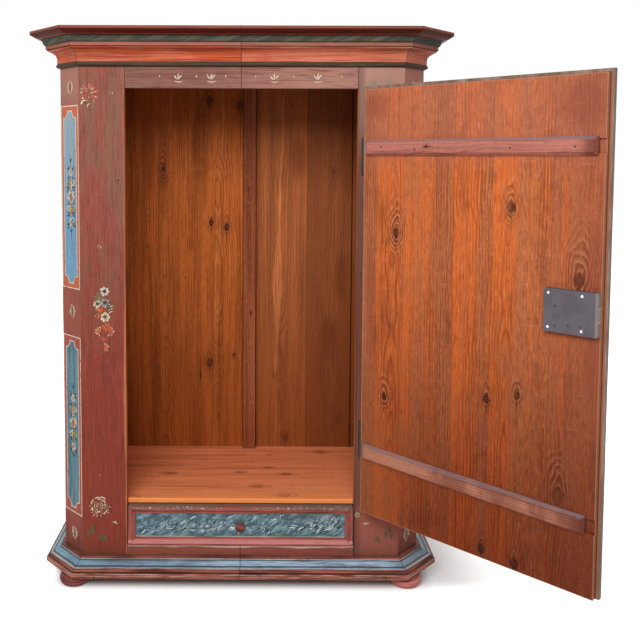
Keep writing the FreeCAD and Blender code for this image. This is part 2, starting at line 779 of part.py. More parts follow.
bolt_head = block((lock_x[0], lock_x[0] + bolt_length), bolt_y_ends, bolt_head_z)
tail_x = (lock_x[0] + bolt_length, lock_x[0] + bolt_length + bolt_tail_length)
bolt_tail = block(tail_x, bolt_y_ends, (bolt_z - bolt_tail_height / 2, bolt_z + bolt_tail_height / 2))
talon_start = vec(sum(tail_x) / 2, bolt_y, bolt_z - bolt_tail_height / 2)
talon = rod(talon_start, depth_axis, bolt_thickness, talon_radius)
bolt = bolt_head.fuse(bolt_tail).removeSplitter().cut(talon)

spring_top = hollow_z[1]
spring_tip = bolt_z + bolt_height / 2 + bolt_play
spring_root_x = lock_x[0] + bolt_length + spring_reach
spring_tip_x = lock_x[0] + bolt_length / 2
spring_outline = [
    (spring_root_x + spring_foot, spring_top),
    (spring_root_x, spring_top),
    (spring_tip_x, spring_tip + spring_thickness),
    (spring_tip_x, spring_tip),
    (spring_root_x, spring_top - spring_thickness),
    (spring_root_x + spring_foot, spring_top - spring_thickness),
]
spring_corners = [vec(x, bolt_y, z) for x, z in spring_outline]
spring_face = Part.Face(Part.makePolygon(spring_corners + spring_corners[:1]))
lock_spring = spring_face.extrude(depth_axis * spring_width)

nail_steps = [(0, -nail_length), (nail_radius, -nail_length), (nail_radius, 0), (nail_head_radius, 0)]
nail_steps += [bow((nail_head_radius, 0), (nail_flat, nail_head_height), -nail_bow), (0, nail_head_height)]
nails = []
for x in (lock_x[0] + nail_edge_inset, lock_x[1] - nail_inset):
    for z in (lock_z[0] + nail_inset, lock_z[1] - nail_inset):
        centre = vec(x, lock_face, z)
        nails.append(turned(nail_steps, lambda out, up: vec(x + out, lock_face + up, z), centre, depth_axis))
        nail_hole = rod(centre, -depth_axis, nail_length + nail_play, nail_radius + nail_play)
        lock_box = lock_box.cut(nail_hole)
        door_slab = door_slab.cut(nail_hole)

keyhole_x = lock_x[0] + keyhole_inset
escutcheon_y = (lip_front - escutcheon_thickness, lip_front)
keyhole_y = (escutcheon_y[0], door_back)
keyhole_top = vec(keyhole_x, escutcheon_y[0], bolt_z)
keyhole = rod(keyhole_top, depth_axis, door_back - escutcheon_y[0], keyhole_radius)
keyhole_x_ends = (keyhole_x - keyhole_slot / 2, keyhole_x + keyhole_slot / 2)
keyhole = keyhole.fuse(block(keyhole_x_ends, keyhole_y, (bolt_z - keyhole_length, bolt_z)))
door_slab = door_slab.cut(keyhole)
escutcheon_x = (keyhole_x - escutcheon_width / 2, keyhole_x + escutcheon_width / 2)
escutcheon_z = (bolt_z - escutcheon_height / 2, bolt_z + escutcheon_height / 2)
escutcheon = block(escutcheon_x, escutcheon_y, escutcheon_z)
escutcheon_corner = escutcheon_width / 2 - escutcheon_thickness
escutcheon = escutcheon.makeFillet(escutcheon_corner, depth_edges(escutcheon)).cut(keyhole)
nodes["strike_plate"] = strike_recess.cut(bolt_mortise)

door_edges = sorted(door_seams + lip_ends)
door_boards = []
for left, right in zip(door_edges, door_edges[1:]):
    door_boards.append(door_slab.common(block((left, right), (lip_front, door_back), (0, total_height))))

# Hinges: a knuckle with a pin on the stile, and a socket knuckle on the door that drops over it
sockets = {}
for name, split in hinge_splits.items():
    low_end = vec(hinge_x, hinge_y, split - knuckle_length)
    knuckle = rod(low_end, up_axis, knuckle_length, knuckle_radius)
    pin = rod(vec(hinge_x, hinge_y, split), up_axis, hinge_pin_length, hinge_pin_radius)
    nodes["hinge_pin_" + name] = knuckle.fuse(pin).fuse(leaf_in_stile(split)).removeSplitter()
    socket_start = vec(hinge_x, hinge_y, split + hinge_rest_gap)
    socket = rod(socket_start, up_axis, knuckle_length - hinge_rest_gap, knuckle_radius)
    socket = socket.fuse(leaf_in_door(split))
    bore_length = hinge_pin_length + hinge_rest_gap
    bore = rod(vec(hinge_x, hinge_y, split), up_axis, bore_length, hinge_pin_radius + hinge_pin_play)
    sockets["hinge_socket_" + name] = socket.cut(bore).removeSplitter()

# The door and all that it carries, turned to the open place
door_pieces = {
    "door_boards": Part.makeCompound(door_boards),
    "door_batten_upper": battens["upper"],
    "door_batten_lower": battens["lower"],
    "lock_case": lock_box,
    "lock_nails": Part.makeCompound(nails),
    "lock_spring": lock_spring,
    "lock_bolt": bolt,
    "keyhole_escutcheon": escutcheon,
    **sockets,
}
for name, piece in door_pieces.items():
    piece.rotate(vec(hinge_x, hinge_y, 0), up_axis, door_open_angle)
    nodes[name] = piece

os.makedirs("parts", exist_ok=True)
for name, shape in nodes.items():
    shape.exportStep("parts/" + name + ".step")
    print(name, len(shape.Solids), "solids", shape.isValid(), round(shape.Volume / 1000.0, 1), "cm3")
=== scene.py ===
import json
import math

import bpy
import numpy as np
from mathutils import Matrix, Vector


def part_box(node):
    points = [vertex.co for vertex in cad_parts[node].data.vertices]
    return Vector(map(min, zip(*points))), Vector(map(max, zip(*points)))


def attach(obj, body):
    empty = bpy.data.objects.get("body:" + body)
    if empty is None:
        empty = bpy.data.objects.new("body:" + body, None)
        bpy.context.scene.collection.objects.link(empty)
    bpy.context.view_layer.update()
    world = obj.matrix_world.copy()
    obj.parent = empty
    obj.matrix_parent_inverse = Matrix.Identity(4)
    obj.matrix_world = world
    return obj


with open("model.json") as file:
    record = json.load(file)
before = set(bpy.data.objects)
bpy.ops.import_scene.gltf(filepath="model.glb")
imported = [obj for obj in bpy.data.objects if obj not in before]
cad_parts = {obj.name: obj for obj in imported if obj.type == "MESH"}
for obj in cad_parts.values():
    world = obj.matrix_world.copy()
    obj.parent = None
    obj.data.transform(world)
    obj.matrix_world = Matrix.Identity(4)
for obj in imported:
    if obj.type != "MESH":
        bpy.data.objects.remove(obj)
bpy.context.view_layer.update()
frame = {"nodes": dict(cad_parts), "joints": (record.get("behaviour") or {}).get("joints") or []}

nodes = frame["nodes"]

# Back of the case: wide upright pine boards, bare, gone deep brown inside and dusty outside, with knots,
# stains and old slits, and darkened inside towards the bottom and under the frieze as painted shade. They
# stand edge to edge in rebates of the sides and are nailed at three heights.
EARLY_WOOD = (0.570, 0.143, 0.030)
OLD_WOOD = (0.330, 0.083, 0.016)
LATE_WOOD = (0.145, 0.030, 0.005)
LINE_WOOD = (0.070, 0.016, 0.005)
FLAME = (0.860, 0.270, 0.074)
OLIVE_WOOD = (0.300, 0.128, 0.066)
STAIN_GREY = (0.130, 0.075, 0.040)
DUST_BROWN = (0.270, 0.170, 0.105)
KNOT_RIM = (0.034, 0.011, 0.006)
KNOT_HEART = (0.130, 0.040, 0.020)
KNOT_RAY = (0.700, 0.330, 0.180)
RING_SPACING = 0.0085
HALO_SPACING = 0.0080
WOOD_GLOSS = 0.05
BUMP_DEPTH = 0.0005


class Finish:
    """Adds linked shader nodes to one tree; each call gives back the new node's output socket."""

    def __init__(self, tree):
        self.tree = tree

    def node(self, kind, inputs, **settings):
        node = self.tree.nodes.new("ShaderNode" + kind)
        for name, value in settings.items():
            setattr(node, name, value)
        for name, value in inputs.items():
            if isinstance(value, bpy.types.NodeSocket):
                self.tree.links.new(value, node.inputs[name])
            else:
                node.inputs[name].default_value = value
        return node

    def use(self, group, inputs):
        return self.node("Group", inputs, node_tree=group).outputs

    def math(self, operation, *values):
        return self.node("Math", dict(enumerate(values)), operation=operation).outputs[0]

    def add(self, a, b):
        return self.math("ADD", a, b)

    def times(self, a, b):
        return self.math("MULTIPLY", a, b)

    def less(self, a, b):
        return self.math("SUBTRACT", a, b)

    def most(self, a, b):
        return self.math("MAXIMUM", a, b)

    def least(self, a, b):
        return self.math("MINIMUM", a, b)

    def size(self, a):
        return self.math("ABSOLUTE", a)

    def length(self, a, b):
        return self.math("SQRT", self.add(self.times(a, a), self.times(b, b)))

    def past(self, value, edge):
        return self.math("GREATER_THAN", value, edge)

    def where(self):
        """The point on the piece, in metres."""
        return self.node("TexCoord", {}).outputs["Object"]

    def facing(self):
        """The way the surface faces, as three values."""
        return self.axes(self.node("NewGeometry", {}).outputs["Normal"])

    def axes(self, vector):
        return self.node("SeparateXYZ", {0: vector}).outputs

    def join(self, x, y, z):
        return self.node("CombineXYZ", {0: x, 1: y, 2: z}).outputs[0]

    def noise(self, vector, stretch, detail=3.0, roughness=0.55):
        """Cloudy noise from 0 to 1; stretch is how many clouds a metre holds along each axis."""
        place = self.node("VectorMath", {0: vector, 1: stretch}, operation="MULTIPLY").outputs[0]
        inputs = {"Vector": place, "Scale": 1.0, "Detail": detail, "Roughness": roughness}
        return self.node("TexNoise", inputs).outputs[0]

    def ramp(self, value, low, high):
        """0 at low and 1 at high, with soft ends; low may be the larger."""
        inputs = {"Value": value, "From Min": low, "From Max": high}
        return self.node("MapRange", inputs, interpolation_type="SMOOTHSTEP").outputs[0]

    def band(self, value, low, full, fading, high):
        """0 at low, 1 from full to fading and 0 again at high."""
        return self.times(self.ramp(value, low, full), self.ramp(value, high, fading))

    def stripes(self, value, edges, levels, blur=0.0002):
        """A value with one level before the first edge and a new one after each, within the blur."""
        total = levels[0]
        for edge, before, after in zip(edges, levels, levels[1:]):
            total = self.add(total, self.times(self.ramp(value, edge - blur, edge + blur), after - before))
        return total

    def spots(self, across, along, places):
        """1 in the middle of oval spots and 0 from their rims on.
        A spot is (place across, place along, half width, half height), in metres."""
        mark = 0.0
        for centre_across, centre_along, wide, high in places:
            u = self.times(self.less(across, centre_across), 1 / wide)
            v = self.times(self.less(along, centre_along), 1 / high)
            mark = self.most(mark, self.ramp(self.length(u, v), 1.0, 0.3))
        return mark

    def mix(self, share, a, b, blend="MIX"):
        """Colour a, with b laid over it by a share from 0 to 1."""
        ends = [c if isinstance(c, bpy.types.NodeSocket) else (*c, 1.0) for c in (a, b)]
        inputs = {0: share, 6: ends[0], 7: ends[1]}
        return self.node("Mix", inputs, data_type="RGBA", blend_type=blend).outputs[2]

    def lay(self, colour, share, most, top):
        """Lays a colour over another where share is high, and nowhere by more than most."""
        return self.mix(self.times(share, most), colour, top)

    def coats(self, colour, *layers):
        """Lays colours over another in turn; a layer is (value, none at, full at, most, colour)."""
        for value, none_at, full_at, most, top in layers:
            colour = self.lay(colour, self.ramp(value, none_at, full_at), most, top)
        return colour

    def give_out(self, **values):
        """Ends a node group: each named value becomes an output."""
        for name in values:
            self.tree.interface.new_socket(name, in_out="OUTPUT", socket_type="NodeSocketFloat")
        leave = self.tree.nodes.new("NodeGroupOutput").inputs
        for name, value in values.items():
            self.tree.links.new(value, leave[name])


def effect(name, values, vectors=()):
    """An empty shader node group with the named inputs; give_out adds its outputs."""
    group = bpy.data.node_groups.new(name, "ShaderNodeTree")
    for labels, kind in ((values, "Float"), (vectors, "Vector")):
        for label in labels:
            group.interface.new_socket(label, in_out="INPUT", socket_type="NodeSocket" + kind)
    return group, Finish(group), group.nodes.new("NodeGroupInput").outputs


def new_finish(name):
    material = bpy.data.materials.new(name)
    material.use_nodes = True
    material.node_tree.nodes.clear()
    return material, Finish(material.node_tree)


def close_finish(f, colour, roughness, height, depth=BUMP_DEPTH, gloss=WOOD_GLOSS, metal=0.0):
    """Ends a finish in one surface; a height from 0 to 1 becomes a bump of that depth in metres."""
    normal = f.node("Bump", {"Height": height, "Distance": depth}).outputs[0]
    inputs = {"Base Color": colour, "Roughness": roughness, "Normal": normal}
    inputs.update({"Specular IOR Level": gloss, "Metallic": metal})
    surface = f.node("BsdfPrincipled", inputs).outputs[0]
    f.node("OutputMaterial", {"Surface": surface})


def give(material, *names):
    for name in names:
        nodes[name].data.materials.clear()
        nodes[name].data.materials.append(material)


pine_grain, f, entry = effect("pine_grain", ("Across", "Along", "Seed", "Pith", "Depth", "Swell"))
spread = f.join(entry["Across"], entry["Seed"], entry["Along"])
wander = f.less(f.noise(f.join(entry["Seed"], entry["Along"], 0.0), (1.0, 2.2, 1.0), 2.0), 0.5)
waver = f.less(f.noise(spread, (5.0, 1.0, 0.9), 2.0), 0.5)
from_pith = f.add(f.less(entry["Across"], entry["Pith"]), f.times(waver, 0.016))
below = f.add(f.add(entry["Depth"], f.times(wander, 0.12)), f.times(entry["Swell"], 0.010))
radius = f.length(from_pith, below)
count = f.add(f.times(radius, 1 / RING_SPACING), f.times(entry["Swell"], 2.0))
jitter = f.noise(f.join(radius, entry["Along"], entry["Seed"]), (60, 3.0, 1.0), 2.0)
year = f.math("FRACT", f.add(count, f.times(jitter, 0.9)))
ring = f.band(year, 0.46, 0.88, 0.94, 1.0)
strength = f.add(f.times(f.ramp(f.noise(spread, (15, 1.0, 1.3), 2.0), 0.42, 0.64), 0.84), 0.16)
hairline = f.less(f.noise(spread, (125, 1.0, 1.5), 3.0, 0.5), 0.5)
fine = f.noise(spread, (520, 1.0, 9.0), 3.0, 0.6)
coarse = f.noise(spread, (170, 1.0, 2.6), 4.0, 0.62)
f.give_out(
    Ring=f.times(ring, f.most(strength, entry["Swell"])),
    Line=f.times(f.ramp(f.size(hairline), 0.055, 0.015), strength),
    Fibre=f.add(f.times(coarse, 0.62), f.times(fine, 0.38)),
    Tone=f.noise(spread, (26, 3.0, 0.9), 3.0, 0.6),
    Mottle=f.noise(spread, (230, 5.0, 42), 3.0, 0.62),
)

knot_mark, f, entry = effect(
    "knot_mark",
    ("Across", "Along", "Lumps", "Drift", "Knot across", "Knot along", "Radius", "Spread"),
)
beside = f.less(entry["Across"], entry["Knot across"])
above = f.less(entry["Along"], entry["Knot along"])
reach = f.math("DIVIDE", f.length(beside, f.times(above, 0.72)), entry["Radius"])
uneven = f.add(reach, f.times(entry["Lumps"], 1.3))
line = f.ramp(f.size(f.add(beside, f.times(entry["Lumps"], 0.005))), 0.0026, 0.0008)
below_knot = f.times(f.ramp(reach, 6.5, 1.0), f.ramp(above, 0.012, 0.002))
lean = f.add(f.times(f.past(above, 0.0), -0.24), 0.56)
drawn_out = f.length(beside, f.times(above, lean))
turn = f.math("FRACT", f.add(f.times(drawn_out, 1 / HALO_SPACING), f.times(entry["Drift"], 2.6)))
fade = f.ramp(f.math("DIVIDE", drawn_out, entry["Spread"]), 1.0, 0.30)
fade = f.times(fade, f.ramp(entry["Drift"], -0.30, -0.10))
f.give_out(
    Swell=f.math("EXPONENT", f.times(f.times(reach, reach), -0.075)),
    Knot=f.ramp(uneven, 1.30, 0.80),
    Heart=f.ramp(uneven, 0.70, 0.25),
    Crack=f.times(line, below_knot),
    Halo=f.times(f.band(turn, 0.40, 0.80, 0.93, 1.0), fade),
    Gleam=f.times(f.band(turn, 0.02, 0.14, 0.22, 0.34), fade),
)


def pine(f, across, along, seed, pith, depth, knots):
    """Pine grain for boards: growth rings cut by the board's face, fibres, broad tones and the listed knots.
    A knot is (place across, place along, radius, reach of the contours round it) in metres."""
    lumps = f.less(f.noise(f.join(across, along, 0.0), (190, 120, 1), 2.0), 0.5)
    drift = f.less(f.noise(f.join(across, along, 3.0), (26, 13, 1), 2.0), 0.5)
    marks = dict.fromkeys(("Swell", "Knot", "Heart", "Crack", "Halo", "Gleam"), 0.0)
    for place_across, place_along, radius, spread in knots:
        inputs = {"Across": across, "Along": along, "Lumps": lumps, "Drift": drift, "Radius": radius}
        inputs.update({"Knot across": place_across, "Knot along": place_along, "Spread": spread})
        outs = f.use(knot_mark, inputs)
        for name in marks:
            marks[name] = f.most(marks[name], outs[name])
    inputs = {"Across": across, "Along": along, "Seed": seed, "Pith": pith, "Depth": depth}
    outs = f.use(pine_grain, {**inputs, "Swell": marks["Swell"]})
    for name in ("Ring", "Line", "Fibre", "Tone", "Mottle"):
        marks[name] = outs[name]
    return marks


def pine_coat(f, marks, shift, early, old, late, knot_share=0.9, gleam=0.12, heart=KNOT_HEART):
    """Pine colour: broad light and dark stripes, late wood, fibres, then knots and their cracks over all."""
    colour = f.mix(f.ramp(f.add(marks["Tone"], shift), 0.36, 0.64), old, early)
    colour = f.coats(
        colour,
        (marks["Fibre"], 0.48, 0.63, 0.42, late),
        (marks["Fibre"], 0.47, 0.36, 0.35, early),
        (marks["Mottle"], 0.54, 0.68, 0.34, late),
        (marks["Mottle"], 0.45, 0.33, 0.26, FLAME),
    )
    colour = f.lay(colour, marks["Ring"], 0.62, late)
    colour = f.lay(colour, marks["Line"], 0.40, late)
    colour = f.lay(colour, f.ramp(marks["Swell"], 0.30, 0.95), 0.22, late)
    colour = f.lay(colour, marks["Halo"], 0.66, LINE_WOOD)
    colour = f.lay(colour, marks["Gleam"], gleam, KNOT_RAY)
    colour = f.lay(colour, marks["Crack"], 0.9 * knot_share, KNOT_RIM)
    colour = f.lay(colour, marks["Knot"], knot_share, KNOT_RIM)
    return f.lay(colour, marks["Heart"], 0.7, heart)


BACK_SEAMS = (-0.394, -0.179, 0.0, 0.244, 0.418)
BACK_KNOTS = (
    (-0.309, 1.374, 0.0070, 0.040),
    (-0.126, 1.167, 0.0080, 0.018),
    (-0.066, 1.150, 0.0100, 0.024),
    (-0.131, 1.638, 0.0110, 0.020),
    (-0.015, 1.618, 0.0120, 0.022),
    (-0.132, 0.617, 0.0120, 0.022),
    (-0.037, 0.648, 0.0045, 0.012),
    (0.128, 0.858, 0.0050, 0.020),
    (0.124, 0.574, 0.0050, 0.018),
    (0.167, 0.318, 0.0100, 0.020),
    (0.368, 0.396, 0.0070, 0.034),
    (0.347, 0.749, 0.0060, 0.032),
    (0.352, 0.643, 0.0060, 0.032),
    (0.347, 1.363, 0.0070, 0.036),
)
BACK_STAINS = (
    (-0.370, 1.219, 0.012, 0.012),
    (-0.367, 1.191, 0.010, 0.009),
    (-0.372, 1.076, 0.013, 0.012),
    (-0.366, 0.610, 0.014, 0.012),
)
BACK_SMEARS = (
    (-0.309, 1.325, 0.030, 0.050),
    (-0.205, 1.085, 0.018, 0.040),
    (-0.190, 1.480, 0.022, 0.120),
    (0.210, 1.420, 0.050, 0.110),
    (0.405, 1.480, 0.050, 0.330),
    (0.380, 0.960, 0.035, 0.140),
    (-0.370, 1.450, 0.040, 0.250),
    (0.330, 0.720, 0.045, 0.110),
)
BACK_SLITS = (
    (-0.169, 1.580, 0.003, 0.011),
    (-0.168, 0.569, 0.0045, 0.032),
    (0.186, 1.620, 0.005, 0.006),
)
FLAME_MIDDLES = (-0.45, -0.295, -0.087, 0.149, 0.361, 0.47)
FLAME_SHARES = (0.0, 0.16, 0.26, 0.95, 0.10, 0.0)
FLAME_WIDTHS = (1.0, 1.4, 1.2, 1.0, 1.8, 1.0)
OVAL_SHARES = (0.10, 0.50, 0.45, 0.75, 0.80, 0.05)
FLAME_TOP = 1.62
FLAME_SLOPE = 0.019
POST_EDGES = (-0.0015, 0.0475)
back_low, back_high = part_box("back_boards_left")
back_pine, f = new_finish("back_pine")
x, y, z = f.axes(f.where())
seed = f.stripes(x, BACK_SEAMS, (1.3, 4.1, 8.7, 12.9, 17.2, 21.5))
pith = f.stripes(x, BACK_SEAMS, (-0.52, -0.305, -0.100, 0.136, 0.352, 0.50))
depth = f.stripes(x, BACK_SEAMS, (0.06, 0.030, 0.014, 0.040, 0.022, 0.05))
shift = f.stripes(x, BACK_SEAMS, (-0.03, 0.07, 0.06, 0.09, -0.24, -0.26))
marks = pine(f, x, z, seed, pith, depth, BACK_KNOTS)
colour = pine_coat(f, marks, shift, EARLY_WOOD, OLD_WOOD, LATE_WOOD)
run = f.join(f.times(seed, 3.0), 0.0, z)
flame_x = f.add(f.stripes(x, BACK_SEAMS, FLAME_MIDDLES), f.times(f.less(z, FLAME_TOP), FLAME_SLOPE))
flame_x = f.add(flame_x, f.times(f.less(f.noise(run, (1.0, 1.0, 2.6), 2.0), 0.5), 0.030))
half = f.most(f.add(f.times(f.noise(run, (1.0, 1.0, 5.0), 1.0), 0.038), -0.010), 0.0025)
half = f.times(half, f.stripes(x, BACK_SEAMS, FLAME_WIDTHS))
inside = f.math("DIVIDE", f.size(f.less(x, flame_x)), half)
share = f.add(f.times(f.ramp(marks["Fibre"], 0.60, 0.44), 0.45), 0.45)
share = f.times(share, f.stripes(x, BACK_SEAMS, FLAME_SHARES))
colour = f.mix(f.times(f.ramp(inside, 1.08, 0.90), share), colour, FLAME)
turn = f.math("FRACT", f.add(f.times(inside, 1.9), 0.15))
oval = f.times(f.band(turn, 0.45, 0.85, 0.92, 1.0), f.ramp(inside, 2.7, 1.0))
oval = f.times(oval, f.ramp(f.noise(f.join(x, 0.0, z), (34, 1, 5), 3.0), 0.36, 0.56))
colour = f.mix(f.times(oval, f.stripes(x, BACK_SEAMS, OVAL_SHARES)), colour, LINE_WOOD)
# Painted shade: the last two layers darken the boards towards the bottom and just under the frieze.
colour = f.coats(
    colour,
    (x, 0.02, 0.08, 0.30, OLIVE_WOOD),
    (x, BACK_SEAMS[3] - 0.001, BACK_SEAMS[3] + 0.001, 0.24, LATE_WOOD),
    (z, 1.15, 0.42, 0.46, LATE_WOOD),
    (z, 1.46, 1.68, 0.42, LATE_WOOD),
)
colour = f.lay(colour, f.spots(x, z, BACK_SMEARS), 0.45, LATE_WOOD)
colour = f.lay(colour, f.spots(x, z, BACK_STAINS), 0.60, STAIN_GREY)
colour = f.lay(colour, f.spots(x, z, BACK_SLITS), 0.90, KNOT_RIM)
# Dark lines at both edges of the post and at the last seam: the joints, deepened as painted shade of the
# gaps.
for edge in POST_EDGES + BACK_SEAMS[-1:]:
    colour = f.lay(colour, f.ramp(f.size(f.less(x, edge)), 0.0038, 0.0014), 0.75, KNOT_RIM)
outside = f.ramp(y, back_high.y - 0.0015, back_high.y - 0.0005)
colour = f.lay(colour, outside, 0.26, DUST_BROWN)
close_finish(f, colour, 0.46, marks["Fibre"])
give(back_pine, "back_boards_left", "back_boards_right")

NAIL_IRON = (0.055, 0.040, 0.034)
nail_iron, f = new_finish("nail_iron")
scale = f.noise(f.where(), (420, 420, 420), 3.0)
close_finish(f, f.mix(f.ramp(scale, 0.4, 0.7), NAIL_IRON, KNOT_HEART), 0.55, scale, 0.0002)


def ring_faces(count, rings, sides):
    """Faces of closed tubes of points: walls from each ring to the next and a cap at both ends.
    They look outwards where the rings turn clockwise as seen from the last one."""
    first = np.arange(count)[:, None, None] * rings * sides
    start = first + np.arange(rings - 1)[:, None] * sides
    here = start + np.arange(sides)
    beside = start + (np.arange(sides) + 1) % sides
    walls = np.stack([here, here + sides, beside + sides, beside], -1).reshape(-1, 4)
    caps = first[:, 0] + np.arange(sides)
    far_caps = (caps + (rings - 1) * sides)[:, ::-1]
    return walls.tolist() + caps.tolist() + far_caps.tolist()


def add_piece(name, body, points, faces, material):
    """A new piece in one finish, which moves with a body; gives back its mesh."""
    mesh = bpy.data.meshes.new(name)
    mesh.from_pydata(points, [], faces)
    mesh.materials.append(material)
    piece = bpy.data.objects.new(name, mesh)
    bpy.context.scene.collection.objects.link(piece)
    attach(piece, body)
    return mesh


HEAD_SIDES = 10
HEAD_RINGS = np.array([(1.0, -0.4), (1.0, 0.02), (0.90, 0.26), (0.62, 0.46)])


def nail_heads(name, body, centres, out, radius, material):
    """Round heads on a flat face that looks along out: rings of points whose radius and height are shares of
    the head's radius, from a foot sunk in the wood to a flat cap."""
    turn = np.linspace(0, -2 * np.pi, HEAD_SIDES, endpoint=False)
    wide, high = HEAD_RINGS[:, :1], HEAD_RINGS[:, 1:]
    local = np.stack([wide * np.cos(turn), wide * np.sin(turn), high + 0 * turn], -1).reshape(-1, 3)
    turned = local @ np.array(Vector(out).to_track_quat("Z", "Y").to_matrix()).T
    points = np.array(centres, float)[:, None] + radius * turned
    faces = ring_faces(len(centres), len(HEAD_RINGS), HEAD_SIDES)
    add_piece(name, body, points.reshape(-1, 3), faces, material)


BACK_NAILS_X = (-0.391, -0.225, 0.270)
BACK_NAILS_Z = (1.600, 0.950, 0.310)
BACK_NAIL_RADIUS = 0.0030
back_nails = [(x, back_low.y, z) for x in BACK_NAILS_X for z in BACK_NAILS_Z]
nail_heads("back_board_nails", "case", back_nails, (0, -1, 0), BACK_NAIL_RADIUS, nail_iron)

# Top, bottom, post and small carcass pieces: bare pine too, sawn and left rough, the post planed and browner.
# The bottom lies between the walls and the top lies on them; the post covers the joint of the two halves.
POST_WOOD = (0.340, 0.098, 0.042)
POST_DARK = (0.165, 0.042, 0.017)
CARCASS_KNOTS = ((0.30, 0.02, 0.011, 0.04), (-0.22, -0.08, 0.010, 0.03), (-0.41, 0.11, 0.012, 0.04))
POST_KNOTS = ((0.018, 1.30, 0.003, 0.006), (0.030, 0.82, 0.003, 0.006))


def pine_finish(name, across, along, seed, pith, depth, shift, knots, tones, roughness):
    """A bare pine finish whose grain runs along one axis of the case, x, y or z."""
    material, f = new_finish(name)
    place = dict(zip("xyz", f.axes(f.where())))
    marks = pine(f, place[across], place[along], seed, pith, depth, knots)
    colour = pine_coat(f, marks, shift, *tones)
    close_finish(f, colour, roughness, marks["Fibre"])
    return material


wood_tones = (EARLY_WOOD, OLD_WOOD, LATE_WOOD)
bare_pine = pine_finish("bare_pine", "x", "y", 3.0, 0.07, 0.03, 0.0, CARCASS_KNOTS, wood_tones, 0.6)
give(bare_pine, "top_board_left", "top_board_right", "bottom_board_left", "bottom_board_right")
give(bare_pine, "floor_cleats", "drawer_runners", "drawer_cheek_left", "drawer_cheek_right", "joining_dowels")
post_tones = (POST_WOOD, POST_DARK, LATE_WOOD)
post_pine = pine_finish("post_pine", "x", "z", 6.0, -0.06, 0.05, 0.05, POST_KNOTS, post_tones, 0.5)
give(post_pine, "back_post")

# Case walls: front stiles and sides of softwood board, mitred to the canted corner boards. They carry one
# coat of brick-red distemper, brushed upright and streaked brown by age, darker low down partly as painted
# shade. It is rubbed to the wood along the left of the door opening; along the right it is darkened as
# painted shadow of the open door. Their inner faces are bare.
LOW_RED_SHADED = (0.250, 0.040, 0.024)
HIGH_RED_LIT = (0.272, 0.078, 0.060)
BROWN_HAZE = (0.205, 0.112, 0.070)
PURPLE_STREAK = (0.150, 0.042, 0.036)
RUBBED_RED = (0.320, 0.078, 0.056)
FADED_PINK = (0.450, 0.250, 0.195)
FADED_BROWN = (0.370, 0.138, 0.102)
SIDE_RED = (0.275, 0.060, 0.042)
PIT_BROWN = (0.070, 0.028, 0.020)
BARE_WOOD = (0.520, 0.190, 0.080)
DIRT = (0.090, 0.044, 0.032)
RUBBED_EDGE = 0.0085
STILE_SMUDGES = ((-0.448, 0.726, 0.030, 0.035), (-0.440, 0.690, 0.022, 0.040))
STILE_HOLES = ((-0.397, 1.343, 0.0045, 0.0045),)
GREEN_TRACES = ((0.420, 1.657, 0.020, 0.018), (0.452, 1.640, 0.024, 0.016), (0.475, 1.662, 0.016, 0.020))
TRACE_GREEN = (0.210, 0.230, 0.120)
PEG_PALE = (0.420, 0.380, 0.220)
PEG_HEART = (0.170, 0.130, 0.066)
PEG_RING = 0.0092
JOINT_BROWN = (0.028, 0.012, 0.010)
JOINT_HALF = 0.0011
opening_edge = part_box("stile_right")[0].x
corner_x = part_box("stile_right")[1].x
front_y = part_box("stile_right")[0].y
side_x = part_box("side_right")[1].x
cant_back_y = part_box("side_right")[0].y
wall_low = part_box("stile_right")[0].z
bead_low, bead_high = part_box("bead_left")[0].z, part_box("bead_left")[1].z
peg_middle = (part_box("stile_peg")[0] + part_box("stile_peg")[1]) / 2

brushed_paint, f, entry = effect("brushed_paint", (), ("Place",))
f.give_out(
    Streak=f.noise(entry["Place"], (95, 95, 4.2), 4.0, 0.62),
    Hair=f.noise(entry["Place"], (330, 330, 13), 3.0, 0.62),
    Patch=f.noise(entry["Place"], (17, 17, 4.0), 4.0, 0.60),
    Speck=f.noise(entry["Place"], (240, 240, 110), 2.0),
)


def brick_red_coat(f, place):
    """Red distemper: two reds by height, the lower one redder and darker and the upper one lighter, partly as
    painted light that falls off towards the floor; lighter rubbed patches, dark streaks, a brown haze high
    up, pits.
    """
    marks = f.use(brushed_paint, {"Place": place})
    up = f.ramp(f.axes(f.where())[2], 0.55, 1.45)
    # Painted light: the upper red is lighter and the lower red darker, as light that falls off towards the
    # floor.
    colour = f.mix(up, LOW_RED_SHADED, HIGH_RED_LIT)
    colour = f.lay(colour, f.ramp(marks["Patch"], 0.48, 0.68), 0.30, RUBBED_RED)
    haze = f.times(f.ramp(f.less(1.0, marks["Patch"]), 0.40, 0.60), f.add(f.times(up, 0.80), 0.12))
    colour = f.lay(colour, haze, 0.85, BROWN_HAZE)
    colour = f.coats(
        colour,
        (marks["Streak"], 0.50, 0.66, 0.28, PURPLE_STREAK),
        (marks["Streak"], 0.46, 0.36, 0.20, RUBBED_RED),
        (marks["Hair"], 0.51, 0.64, 0.50, PIT_BROWN),
        (marks["Hair"], 0.44, 0.34, 0.28, RUBBED_RED),
        (marks["Speck"], 0.62, 0.72, 0.50, PIT_BROWN),
    )
    return colour, marks


def bare_inside(f, colour, marks):
    """Leaves the paint off the faces that look into the case or into the door opening."""
    x = f.axes(f.where())[0]
    facing = f.facing()
    outwards = f.less(f.times(facing[0], f.math("SIGN", x)), facing[1])
    wood = f.mix(f.ramp(marks["Streak"], 0.40, 0.62), BARE_WOOD, OLD_WOOD)
    return f.mix(f.ramp(outwards, -0.3, -0.5), colour, wood)


def joint_lines(f, colour, *distances):
    """Dark hairlines where pieces meet; each distance is measured from a joint, in metres."""
    for distance in distances:
        colour = f.lay(colour, f.ramp(f.size(distance), JOINT_HALF * 1.5, JOINT_HALF * 0.6), 0.8, JOINT_BROWN)
    return colour


